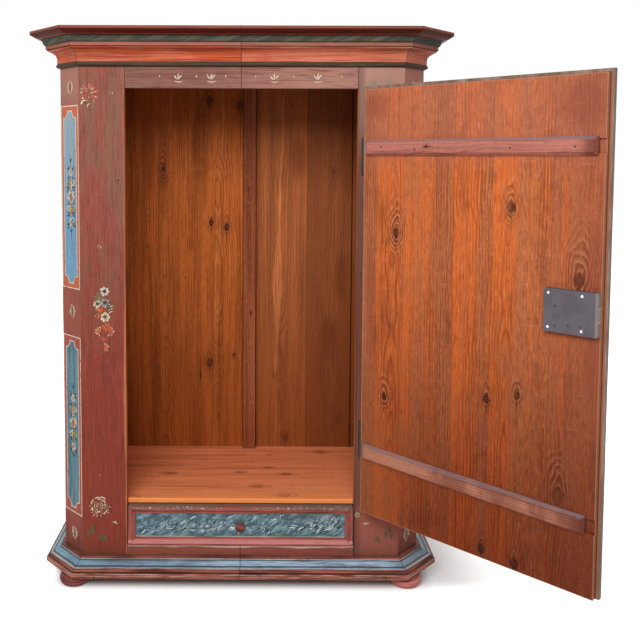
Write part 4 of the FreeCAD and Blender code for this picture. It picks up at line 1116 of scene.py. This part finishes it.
# The left feet take a darker copy of the red as painted shade, the right feet a lighter copy as painted
# light.
give(base_red("foot_shaded_red", FOOT_SHADED_RED, wear=0.3), "foot_front_left", "foot_back_left")
give(base_red("foot_lit_red", FOOT_LIT_RED, wear=0.3), "foot_front_right", "foot_back_right")

# Floor of the wardrobe: one loose wide pine board, its grain across the case, scrubbed and worn along the
# front edge, and painted lighter towards the front and brightest on its front edge as painted light.
FLOOR_EARLY = (0.930, 0.300, 0.128)
FLOOR_OLD = (0.720, 0.222, 0.094)
FLOOR_LATE = (0.310, 0.070, 0.026)
EDGE_WORN_AND_LIT = (0.900, 0.300, 0.085)
FLOOR_WORN_AND_LIT = (0.985, 0.350, 0.134)
FLOOR_KNOTS = (
    (-0.034, -0.259, 0.0070, 0.020),
    (-0.022, -0.008, 0.0045, 0.016),
    (0.023, 0.093, 0.0045, 0.016),
    (-0.037, 0.156, 0.0065, 0.020),
    (-0.143, 0.055, 0.0075, 0.024),
    (-0.215, 0.151, 0.0080, 0.024),
    (0.177, 0.298, 0.0080, 0.024),
    (-0.229, -0.352, 0.0080, 0.030),
)
FLOOR_CHIP = ((-0.001, -0.369, 0.005, 0.005),)
floor_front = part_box("floor_board")[0].y
floor_pine, f = new_finish("floor_pine")
x, y, z = f.axes(f.where())
marks = pine(f, y, x, 9.0, 0.145, 0.02, FLOOR_KNOTS)
# Painted light: the board is lighter towards the front, lighter still in a broad front strip and brightest on
# its front edge, partly wear and partly light from the front.
shift = f.add(f.times(f.ramp(y, 0.05, -0.20), 0.28), 0.04)
colour = pine_coat(f, marks, shift, FLOOR_EARLY, FLOOR_OLD, FLOOR_LATE, 0.40, 0.25, FLOOR_OLD)
colour = f.lay(colour, f.ramp(y, floor_front + 0.150, floor_front + 0.030), 0.34, FLOOR_WORN_AND_LIT)
colour = f.lay(colour, f.ramp(y, floor_front + 0.012, floor_front + 0.003), 0.85, EDGE_WORN_AND_LIT)
colour = f.lay(colour, f.spots(y, x, FLOOR_CHIP), 0.8, SCRAPED)
close_finish(f, colour, 0.42, marks["Fibre"])
give(floor_pine, "floor_board")

# Drawer: a dovetailed pine box. Its front is painted blue-green and marbled with pale strokes, inside a
# mitred red moulding whose top is grey with a few flecks of white, partly rubbed and partly a painted
# reflection, and whose lower bevel carries a painted pink highlight; the knob is turned and stained red.
DRAWER_BLUE = (0.152, 0.238, 0.272)
DRAWER_DARK = (0.064, 0.112, 0.122)
DRAWER_VEIL = (0.320, 0.424, 0.474)
MOULDING_RED = (0.390, 0.108, 0.086)
MOULDING_PINK_HIGHLIGHT = (0.690, 0.270, 0.260)
KNOB_RED = (0.220, 0.072, 0.060)
LEDGE_GREY_SHEEN = (0.200, 0.130, 0.100)
CHALK = (0.760, 0.680, 0.580)
PALETTE.update(
    marble_white=(0.740, 0.790, 0.780),
    marble_blue=(0.310, 0.420, 0.510),
    marble_grey=(0.200, 0.280, 0.310),
    marble_dark=(0.030, 0.058, 0.064),
)
MARBLE_TINTS = ["marble_" + tint for tint in ("grey", "white", "blue", "blue", "grey", "dark", "dark")]
MARBLE_CLUSTERS = 96
CLUSTER_STROKES = 6
MOULDING_WIDTH = 0.0250
drawer_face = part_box("drawer_front")[0].y
moulding_low, moulding_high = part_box("drawer_moulding")
drawer_blue, f = new_finish("drawer_blue")
x, y, z = f.axes(f.where())
marks = f.use(brushed_paint, {"Place": f.join(z, y, x)})
slant = f.join(f.add(x, f.times(z, 1.1)), f.less(z, f.times(x, 0.55)), 0.0)
ground = f.noise(slant, (16, 46, 1), 4.0, 0.64)
colour = f.mix(f.ramp(ground, 0.38, 0.60), DRAWER_DARK, DRAWER_BLUE)
colour = f.lay(colour, f.ramp(ground, 0.54, 0.66), 0.55, DRAWER_VEIL)
colour = f.lay(colour, f.ramp(marks["Hair"], 0.52, 0.66), 0.40, DRAWER_DARK)
from_rim = f.size(f.less(z, moulding_low.z + MOULDING_WIDTH + 0.0008))
rim = f.times(f.ramp(from_rim, 0.0022, 0.0008), f.ramp(marks["Patch"], 0.38, 0.52))
colour = f.lay(colour, rim, 0.7, CHALK)
# The front's top strip is grey: wear and a painted reflection of the light above.
colour = f.lay(colour, f.ramp(z, moulding_high.z - 0.003, moulding_high.z - 0.001), 0.95, LEDGE_GREY_SHEEN)
close_finish(f, colour, 0.5, f.add(ground, marks["Hair"]), 0.0004)
give(drawer_blue, "drawer_front")


def marbling(left, right, low, high):
    """Short curved strokes in clusters across a panel, most of them rising to the right, in millimetres."""
    made = []
    for _ in range(MARBLE_CLUSTERS):
        u, v = hand.uniform(left, right), low + (high - low) * hand.beta(1.6, 1.6)
        slope, bow = hand.normal(34, 13), hand.normal(0, 3.0)
        for _ in range(CLUSTER_STROKES):
            length = hand.uniform(9, 27)
            angle = math.radians(slope + hand.normal(0, 8))
            middle = (u + hand.normal(0, 9), v + hand.normal(0, 6))
            half = (math.cos(angle) * length / 2, math.sin(angle) * length / 2)
            start = (middle[0] - half[0], middle[1] - half[1])
            end = (middle[0] + half[0], middle[1] + half[1])
            inside = left < min(start[0], end[0]) and max(start[0], end[0]) < right
            if inside and low < min(start[1], end[1]) and max(start[1], end[1]) < high:
                tint = MARBLE_TINTS[int(hand.integers(len(MARBLE_TINTS)))]
                made.append(stroke(start, end, hand.uniform(1.6, 4.8), tint, bow))
    return made


def on_drawer(u, v, proud):
    """Places strokes on the face of the drawer's front."""
    return np.stack([u, drawer_face - proud, v], -1)


PANEL_ROOM = 0.005
panel = [
    moulding_low.x + MOULDING_WIDTH + PANEL_ROOM,
    moulding_high.x - MOULDING_WIDTH - PANEL_ROOM,
    moulding_low.z + MOULDING_WIDTH + PANEL_ROOM,
    moulding_high.z - MOULDING_WIDTH - PANEL_ROOM,
]
marble_paint = stroke_finish("marble_paint", DRAWER_BLUE)
strokes = marbling(*[edge / MM for edge in panel])
paint_strokes("drawer_marbling", "drawer", strokes, on_drawer, marble_paint)

moulding_red, f = new_finish("moulding_red")
x, y, z = f.axes(f.where())
from_end = f.less(moulding_high.x, f.size(x))
from_edge = f.least(f.less(z, moulding_low.z), f.less(moulding_high.z, z))
upright = f.past(from_edge, from_end)
marks = f.use(brushed_paint, {"Place": f.mix(upright, f.join(z, y, x), f.where())})
colour = f.mix(f.ramp(marks["Streak"], 0.40, 0.68), MOULDING_RED, BASE_DARK)
# A pink band along the lower bevel is a painted highlight.
lower_bevel = f.size(f.less(z, moulding_low.z + 0.0115))
colour = f.lay(colour, f.ramp(lower_bevel, 0.0085, 0.0030), 0.85, MOULDING_PINK_HIGHLIGHT)
colour = f.lay(colour, f.ramp(marks["Hair"], 0.52, 0.70), 0.40, BASE_DARK)
# The ledge on top is grey: wear and a painted reflection of the light above, with white flecks.
ledge = f.ramp(z, moulding_high.z - 0.010, moulding_high.z - 0.004)
grey = f.lay(LEDGE_GREY_SHEEN, f.ramp(marks["Speck"], 0.58, 0.68), 0.8, CHALK)
colour = f.lay(colour, f.times(ledge, f.ramp(marks["Patch"], 0.30, 0.55)), 0.9, grey)
colour = joint_lines(f, colour, f.less(from_end, from_edge))
close_finish(f, colour, 0.45, f.add(marks["Streak"], marks["Hair"]))
give(moulding_red, "drawer_moulding")
give(base_red("knob_red", KNOB_RED, wear=0.15), "drawer_knob")

drawer_tones = (FLOOR_EARLY, FLOOR_OLD, FLOOR_LATE)
DRAWER_KNOTS = ((0.20, -0.05, 0.006, 0.02), (0.16, 0.08, 0.005, 0.02))
for name, across, along, seed, pith, depth, shift, pieces in (
    ("drawer_pine", "z", "y", 15.0, 0.24, 0.02, 0.10, ("drawer_side_left", "drawer_side_right")),
    ("drawer_end_pine", "z", "x", 16.0, 0.24, 0.02, 0.10, ("drawer_back",)),
    ("drawer_bottom_pine", "y", "x", 18.0, 0.0, 0.03, 0.0, ("drawer_bottom",)),
):
    give(pine_finish(name, across, along, seed, pith, depth, shift, DRAWER_KNOTS, drawer_tones, 0.6), *pieces)

# Door: five upright pine boards, bare and waxed inside, with a rebated edge whose thin lip laps the frame.
# Inside, the wood is painted darker towards the bottom and along its edges as shade, paler at the top partly
# as a painted sheen, with a painted highlight on the panel's arris. The front is painted like the corners,
# with two blue cartouches; the lip's edges are worn to grey-brown.
DOOR_EARLY = (0.630, 0.142, 0.033)
DOOR_OLD = (0.440, 0.136, 0.054)
DOOR_LATE = (0.210, 0.042, 0.014)
DOOR_FADED_SHEEN = (0.350, 0.132, 0.088)
DOOR_OCHRE = (0.385, 0.128, 0.050)
DOOR_SOOT = (0.130, 0.045, 0.022)
LIP_BROWN = (0.190, 0.118, 0.090)
LIP_GREY = (0.310, 0.222, 0.176)
LIP_ORANGE = (0.330, 0.112, 0.048)
LIP_STRIP = 0.007
DOOR_VIOLET = (0.235, 0.052, 0.034)
LOW_PAINTED_SHADE = (0.44, 0.33, 0.30)
ARRIS_HIGHLIGHT = (0.600, 0.300, 0.190)
DOOR_SEAMS = (-0.240, -0.068, 0.052, 0.197)
DOOR_STRIPES = (-0.360, -0.290, -0.240, -0.200, -0.150, -0.125, -0.068, -0.026, 0.052, 0.130, 0.197, 0.322)
STRIPE_TONES = (-0.24, -0.22, -0.08, -0.04, -0.10, 0.02, 0.20, -0.05, 0.18, -0.12, 0.03, 0.12, -0.14)
DOOR_KNOTS = (
    (0.250, 1.188, 0.0105, 0.048),
    (-0.124, 1.283, 0.0115, 0.032),
    (-0.315, 1.102, 0.0135, 0.066),
    (0.287, 0.668, 0.0075, 0.034),
    (-0.062, 0.735, 0.0095, 0.022),
    (-0.153, 0.764, 0.0080, 0.022),
    (-0.274, 0.520, 0.0150, 0.056),
    (-0.056, 0.296, 0.0100, 0.020),
    (-0.156, 0.287, 0.0110, 0.022),
)
DOOR_STAIN_AND_EDGE_SHADE = (
    (-0.352, 1.150, 0.030, 0.160),
    (-0.350, 0.900, 0.026, 0.180),
    (-0.045, 0.640, 0.030, 0.060),
    (0.345, 1.000, 0.024, 0.300),
    (-0.315, 1.560, 0.090, 0.090),
    (0.330, 1.580, 0.060, 0.060),
)
DOOR_FIELDS = (1.300, 0.610)
DOOR_FIELD_HALF = (0.290, 0.300)
DOOR_CARTOUCHE_HALF = (0.250, 0.260)
DOOR_NOTCH = 0.060
DOOR_LINE_HALF = 0.0028
LIP_DEPTH = 0.0143
PAINT_FILM = 0.0006
PANEL_HALF = 0.373
PANEL_LOW, PANEL_HIGH = 0.268, 1.634
hinge = next(j for j in frame["joints"] if j["name"] == "door_hinge")
hinge_axis = Vector((hinge["pos_m"][0], hinge["pos_m"][1], 0.0))
shut_turn = math.radians(hinge["range_deg"][0])
shut = Matrix.Translation(hinge_axis) @ Matrix.Rotation(shut_turn, 4, "Z") @ Matrix.Translation(-hinge_axis)
opened = shut.inverted()


def shut_box(name):
    """The lowest and highest corner of a piece of the door as it would be with the door shut."""
    points = np.array([shut @ v.co for v in nodes[name].data.vertices])
    return Vector(points.min(0)), Vector(points.max(0))


def shut_place(f):
    """The point on the door as it would be with the door shut: turned back about the hinge."""
    inputs = {"Vector": f.where(), "Location": tuple(shut.translation), "Rotation": (0.0, 0.0, shut_turn)}
    return f.node("Mapping", inputs, vector_type="POINT").outputs[0]


door_front = shut_box("door_boards")[0].y
door_boards, f = new_finish("door_boards")
x, y, z = f.axes(shut_place(f))
seed = f.stripes(x, DOOR_SEAMS, (2.2, 5.9, 11.3, 14.8, 19.6))
pith = f.stripes(x, DOOR_SEAMS, (-0.300, -0.118, 0.150, 0.320, 0.262))
depth = f.stripes(x, DOOR_SEAMS, (0.014, 0.012, 0.12, 0.11, 0.020))
shift = f.stripes(x, DOOR_STRIPES, STRIPE_TONES, 0.007)
grain = pine(f, x, z, seed, pith, depth, DOOR_KNOTS)
wood = pine_coat(f, grain, shift, DOOR_EARLY, DOOR_OLD, DOOR_LATE, 0.9, 0.42)
brown = f.ramp(shift, 0.08, -0.08)
wood = f.lay(wood, f.times(f.ramp(grain["Mottle"], 0.48, 0.62), brown), 0.16, DOOR_SOOT)
wood = f.lay(wood, f.times(f.ramp(grain["Mottle"], 0.46, 0.36), brown), 0.18, DOOR_EARLY)
clouded = f.noise(f.join(x, 0.0, z), (12, 1, 5), 5.0, 0.62)
# The paler top is partly faded wood and partly a painted sheen of the light.
wood = f.coats(
    wood,
    (clouded, 0.50, 0.62, 0.50, DOOR_OCHRE),
    (clouded, 0.46, 0.34, 0.35, DOOR_SOOT),
    (z, 1.34, 1.50, 0.42, DOOR_FADED_SHEEN),
)
flecks = f.noise(f.join(x, 11.0, z), (150, 1, 34), 3.0, 0.62)
wood = f.coats(
    wood,
    (flecks, 0.54, 0.66, 0.42, DOOR_LATE),
    (flecks, 0.42, 0.32, 0.26, KNOT_RAY),
    (x, -0.18, -0.32, 0.30, DOOR_VIOLET),
)
scratched = f.noise(f.join(x, 7.0, f.add(z, f.times(x, 0.10))), (8, 1, 430), 2.0)
wood = f.lay(wood, f.ramp(scratched, 0.66, 0.74), 0.45, KNOT_RAY)
# Painted shade: the wood is darkened towards the bottom, a little less near the hinge.
towards_hinge = f.add(f.times(f.ramp(x, 0.12, 0.32), -0.25), 1.0)
wood = f.mix(f.times(f.ramp(z, 1.20, 0.24), towards_hinge), wood, LOW_PAINTED_SHADE, "MULTIPLY")
low_by_hinge = f.times(f.ramp(x, 0.14, 0.32), f.ramp(z, 0.62, 0.38))
wood = f.lay(wood, low_by_hinge, 0.20, DOOR_OCHRE)
# Violet patches: a stain in the middle, and along both long edges and in the top corners painted shade.
wood = f.lay(wood, f.spots(x, z, DOOR_STAIN_AND_EDGE_SHADE), 0.45, DOOR_VIOLET)
for edge in DOOR_SEAMS:
    wood = f.lay(wood, f.ramp(f.size(f.less(x, edge)), 0.0016, 0.0006), 0.45, DOOR_SOOT)
# A pale line along the panel's arris at the rebate is a painted highlight.
inner_edge = f.least(f.less(PANEL_HALF, f.size(x)), f.least(f.less(z, PANEL_LOW), f.less(PANEL_HIGH, z)))
wood = f.lay(wood, f.ramp(f.size(inner_edge), 0.0024, 0.0008), 0.45, ARRIS_HIGHLIGHT)
marks = f.use(brushed_paint, {"Place": shut_place(f)})
lip = f.mix(f.ramp(marks["Patch"], 0.40, 0.62), LIP_BROWN, LIP_GREY)
lip = f.lay(lip, f.ramp(marks["Hair"], 0.50, 0.70), 0.35, DOOR_SOOT)
beside_panel = f.ramp(f.size(x), PANEL_HALF + LIP_STRIP + 0.001, PANEL_HALF + LIP_STRIP - 0.001)
between_ends = f.least(f.past(z, PANEL_LOW), f.past(PANEL_HIGH, z))
lip = f.lay(lip, f.times(beside_panel, between_ends), 0.9, LIP_ORANGE)
lip = joint_lines(f, lip, f.add(inner_edge, JOINT_HALF))
red = brick_red_coat(f, shut_place(f))[0]
front, white = painted_fields(
    f, red, marks, x, DOOR_FIELDS, DOOR_FIELD_HALF, DOOR_CARTOUCHE_HALF, DOOR_NOTCH, DOOR_LINE_HALF
)
colour = f.mix(f.past(y, door_front + LIP_DEPTH), lip, wood)
colour = f.mix(f.past(y, door_front + PAINT_FILM), front, colour)
close_finish(f, colour, 0.44, f.add(grain["Fibre"], grain["Ring"]), 0.0004)
give(door_boards, "door_boards")


def on_door(u, v, proud):
    """Places strokes on the door's front, turned with the door to where it stands open."""
    flat = np.stack([u, door_front - proud, v], -1)
    return flat @ np.array(opened.to_3x3()).T + np.array(opened.translation)


GARLAND_SCALE = 2.2
BUD_AWAY, BUD_UP = 270, 272
door_flowers = []
for field in DOOR_FIELDS:
    door_flowers += garland(0, field / MM, GARLAND_SCALE)
    for side in (-1, 1):
        for level in (BUD_UP, -BUD_UP):
            door_flowers += bud(BUD_AWAY * side, field / MM + level)
paint_strokes("door_flowers", "door", door_flowers, on_door, flower_paint)

# Battens: two chamfered strips slid into dovetailed grooves across the door's boards, stained red-brown,
# their upward bevels greyed partly by dust and partly as a painted reflection. Old nail heads show in the
# upper one.
BATTEN_HIGH = (0.470, 0.168, 0.130)
BATTEN_LOW = (0.455, 0.190, 0.120)
BATTEN_BROWN = (0.330, 0.118, 0.084)
BATTEN_DARK = (0.150, 0.042, 0.028)
BATTEN_GREY_DUST_AND_SHEEN = (0.215, 0.150, 0.160)
BATTEN_NAILS = ((0.179, 1.443), (-0.124, 1.446), (0.300, 1.452), (-0.300, 1.448))
BATTEN_KNOTS = ((1.452, 0.140, 0.0035, 0.005),)
BATTEN_NAIL_RADIUS = 0.0028
batten_wood, f = new_finish("batten_wood")
x, y, z = f.axes(shut_place(f))
marks = pine(f, z, x, 23.0, 1.40, 0.06, BATTEN_KNOTS)
red = f.mix(f.ramp(z, 0.60, 1.30), BATTEN_LOW, BATTEN_HIGH)
colour = pine_coat(f, marks, 0.10, red, BATTEN_BROWN, BATTEN_DARK)
smoky = f.noise(f.join(x, z, 5.0), (7, 3, 1), 4.0, 0.62)
colour = f.lay(colour, f.times(f.ramp(smoky, 0.50, 0.62), f.ramp(z, 1.20, 0.70)), 0.55, BATTEN_DARK)
colour = f.lay(colour, f.ramp(x, -0.30, -0.340), 0.80, BATTEN_DARK)
# Upward faces are greyed: dust and a painted reflection of the light above.
dust_and_sheen = f.times(f.ramp(f.facing()[2], 0.25, 0.65), f.ramp(marks["Fibre"], 0.66, 0.42))
colour = f.lay(colour, dust_and_sheen, 0.85, BATTEN_GREY_DUST_AND_SHEEN)
close_finish(f, colour, 0.5, marks["Fibre"])
give(batten_wood, "door_batten_upper", "door_batten_lower")
batten_face = shut_box("door_batten_upper")[1].y
inwards = opened.to_3x3() @ Vector((0.0, 1.0, 0.0))
batten_nails = [opened @ Vector((x, batten_face, z)) for x, z in BATTEN_NAILS]
nail_heads("batten_nails", "door", batten_nails, inwards, BATTEN_NAIL_RADIUS, nail_iron)

# Ironwork: forged lock box, bolt, spring, strike, keyhole plate and lift-off hinges, dark and faintly violet,
# with rust in the pores; the lock's nails have bright rubbed heads, its rivets are small and dull.
IRON = (0.098, 0.084, 0.101)
IRON_DARK = (0.070, 0.061, 0.071)
RUST = (0.150, 0.070, 0.042)
RUBBED_IRON = (0.260, 0.215, 0.185)
SLOT_RIM_HIGHLIGHT = (0.820, 0.760, 0.700)
SLOT_RIM = 0.0018
NAIL_BRIGHT = (0.80, 0.79, 0.77)
HINGE_BLACK = (0.045, 0.036, 0.034)
RIVET_RADIUS = 0.0030
LOCK_RIVETS = ((-0.261, 0.979), (-0.296, 0.983), (-0.260, 1.031), (-0.328, 0.983))
lock_edge = shut_box("lock_case")[0].x
bolt_low, bolt_high = shut_box("lock_bolt")
bolt_middle, bolt_half = (bolt_low + bolt_high) / 2, (bolt_high - bolt_low) / 2


def iron_finish(name, light, dark, rusty, rubbed=0.0):
    """Forged iron: two greys in clouds, rust in the pores, fine pits, the lock's outer edge rubbed bright,
    and a pale painted highlight round the rim of the slot that its bolt comes out of."""
    material, f = new_finish(name)
    pores = f.noise(f.where(), (120, 120, 120), 4.0, 0.6)
    clouds = f.noise(f.where(), (20, 20, 20), 3.0)
    colour = f.lay(light, f.ramp(clouds, 0.40, 0.62), 0.60, dark)
    colour = f.lay(colour, f.ramp(pores, 0.56, 0.70), rusty, RUST)
    x, y, z = f.axes(shut_place(f))
    past_edge = f.less(x, lock_edge)
    colour = f.lay(colour, f.ramp(past_edge, 0.0095, 0.0060), rubbed, RUBBED_IRON)
    slot = {"Across": f.less(y, bolt_middle.y), "Up": f.less(z, bolt_middle.z)}
    slot.update({"Half width": bolt_half.y + SLOT_RIM, "Half height": bolt_half.z + SLOT_RIM})
    from_rim = f.size(f.use(cartouche, slot)["Box"])
    # A pale ring round the bolt's slot is a painted highlight.
    rim = f.times(f.ramp(from_rim, SLOT_RIM, SLOT_RIM * 0.6), f.ramp(f.size(past_edge), 0.0020, 0.0010))
    colour = f.lay(colour, rim, rubbed, SLOT_RIM_HIGHLIGHT)
    close_finish(f, colour, f.add(f.times(pores, 0.3), 0.38), pores, 0.0004, 0.4, 0.35)
    return material


lock_iron = iron_finish("lock_iron", IRON, IRON_DARK, 0.30, 0.55)
give(lock_iron, "lock_case", "lock_bolt", "lock_spring", "strike_plate", "keyhole_escutcheon")
hinge_iron = iron_finish("hinge_iron", HINGE_BLACK, KNOT_RIM, 0.60)
give(hinge_iron, "hinge_pin_upper", "hinge_pin_lower", "hinge_socket_upper", "hinge_socket_lower")
bright_nail, f = new_finish("bright_nail")
scuffs = f.noise(f.where(), (900, 900, 900), 2.0)
colour = f.mix(f.ramp(scuffs, 0.55, 0.75), NAIL_BRIGHT, IRON)
close_finish(f, colour, f.add(f.times(scuffs, 0.2), 0.15), scuffs, 0.0001, 0.5, 0.9)
give(bright_nail, "lock_nails")
lock_face = shut_box("lock_case")[1].y
lock_rivets = [opened @ Vector((x, lock_face, z)) for x, z in LOCK_RIVETS]
nail_heads("lock_rivets", "door", lock_rivets, inwards, RIVET_RADIUS, hinge_iron)

# Stage: a plain pale floor that keeps the shadow, and white surroundings. One broad soft lamp stands high in
# front and two stand behind; the camera has the view that the wardrobe is shown from.
FLOOR_SIZE = 40.0
FLOOR_WHITE = (0.86, 0.86, 0.86, 1.0)
NEAR_GLOW = 0.66
SHADOW_INSET = 0.04
SHADOW_DRAWN = 0.70
AMBIENT = 0.32
WHITE = (1.0, 1.0, 1.0, 1.0)


def seen(f):
    """1 for what the camera sees, also in a gloss or through glass, and 0 for light on other surfaces."""
    path = f.node("LightPath", {}).outputs
    return f.most(path["Is Camera Ray"], f.most(path["Is Glossy Ray"], path["Is Transmission Ray"]))


bpy.ops.mesh.primitive_plane_add(size=FLOOR_SIZE)
stage_floor = bpy.context.object
stage_floor.name = "stage_floor"
floor_white, f = new_finish("floor_white")
x, y, z = f.axes(f.where())
surface = f.node("BsdfDiffuse", {"Color": FLOOR_WHITE}).outputs[0]
past_side = f.most(f.less(f.size(x), side_x - SHADOW_INSET), 0.0)
past_side = f.times(past_side, f.less(1.0, f.times(f.past(x, 0.0), SHADOW_DRAWN)))
past_front = f.most(f.less(f.size(y), -front_y - SHADOW_INSET), 0.0)
away = f.length(past_side, past_front)
far = f.times(f.ramp(away, 0.25, 1.2), 1.0 - NEAR_GLOW)
strength = f.times(seen(f), f.add(f.times(f.ramp(away, 0.016, 0.110), NEAR_GLOW), far))
glow = f.node("Emission", {"Color": WHITE, "Strength": strength}).outputs[0]
f.node("OutputMaterial", {"Surface": f.node("AddShader", {0: surface, 1: glow}).outputs[0]})
stage_floor.data.materials.append(floor_white)

world = bpy.data.worlds.new("studio")
bpy.context.scene.world = world
world.use_nodes = True
world.node_tree.nodes.clear()
f = Finish(world.node_tree)
strength = f.add(f.times(seen(f), 1.0 - AMBIENT), AMBIENT)
f.node("OutputWorld", {"Surface": f.node("Background", {"Color": WHITE, "Strength": strength}).outputs[0]})


KEY_PLACE, KEY_TARGET = (-0.55, -2.9, 2.75), (0.1, 0.0, 1.05)
KEY_SIZE, KEY_POWER = (2.4, 1.4), 95.0
BACK_PLACE, BACK_TARGET = (2.3, 2.7, 2.3), (0.3, 0.0, 1.0)
BACK_SIZE, BACK_POWER = (2.0, 1.6), 75.0


def soft_lamp(name, place, target, size, power):
    """A rectangular area lamp at a place, turned to a target."""
    lamp = bpy.data.lights.new(name, "AREA")
    lamp.shape = "RECTANGLE"
    lamp.size, lamp.size_y = size
    lamp.energy = power
    lamp_object = bpy.data.objects.new(name, lamp)
    bpy.context.scene.collection.objects.link(lamp_object)
    lamp_object.location = place
    lamp_object.rotation_euler = (Vector(target) - Vector(place)).to_track_quat("-Z", "Y").to_euler()


soft_lamp("key_lamp", KEY_PLACE, KEY_TARGET, KEY_SIZE, KEY_POWER)
for side in (-1, 1):
    mirror = np.array((side, 1, 1))
    soft_lamp("back_lamp", mirror * BACK_PLACE, mirror * BACK_TARGET, BACK_SIZE, BACK_POWER)

CAMERA_PLACE = (0.0543, -2.8031, 1.4135)
CAMERA_DOWN = 0.0615
CAMERA_TURN = 0.0042
CAMERA_ROLL = 0.0034
FRAME_PIXELS = 640.0
FOCAL_PIXELS = 787.8
SENSOR = 36.0
MIDDLE_PIXEL = (254.5, 207.5)
camera = bpy.data.cameras.new("photo_camera")
camera.sensor_width = SENSOR
camera.lens = FOCAL_PIXELS / FRAME_PIXELS * SENSOR
camera.shift_x = 0.5 - MIDDLE_PIXEL[0] / FRAME_PIXELS
camera.shift_y = MIDDLE_PIXEL[1] / FRAME_PIXELS - 0.5
camera_object = bpy.data.objects.new("photo_camera", camera)
bpy.context.scene.collection.objects.link(camera_object)
look = Matrix.Rotation(CAMERA_TURN, 4, "Z") @ Matrix.Rotation(math.pi / 2 - CAMERA_DOWN, 4, "X")
camera_object.matrix_world = Matrix.Translation(CAMERA_PLACE) @ look @ Matrix.Rotation(CAMERA_ROLL, 4, "Z")
bpy.context.scene.camera = camera_object
bpy.context.scene.view_settings.view_transform = "Standard"
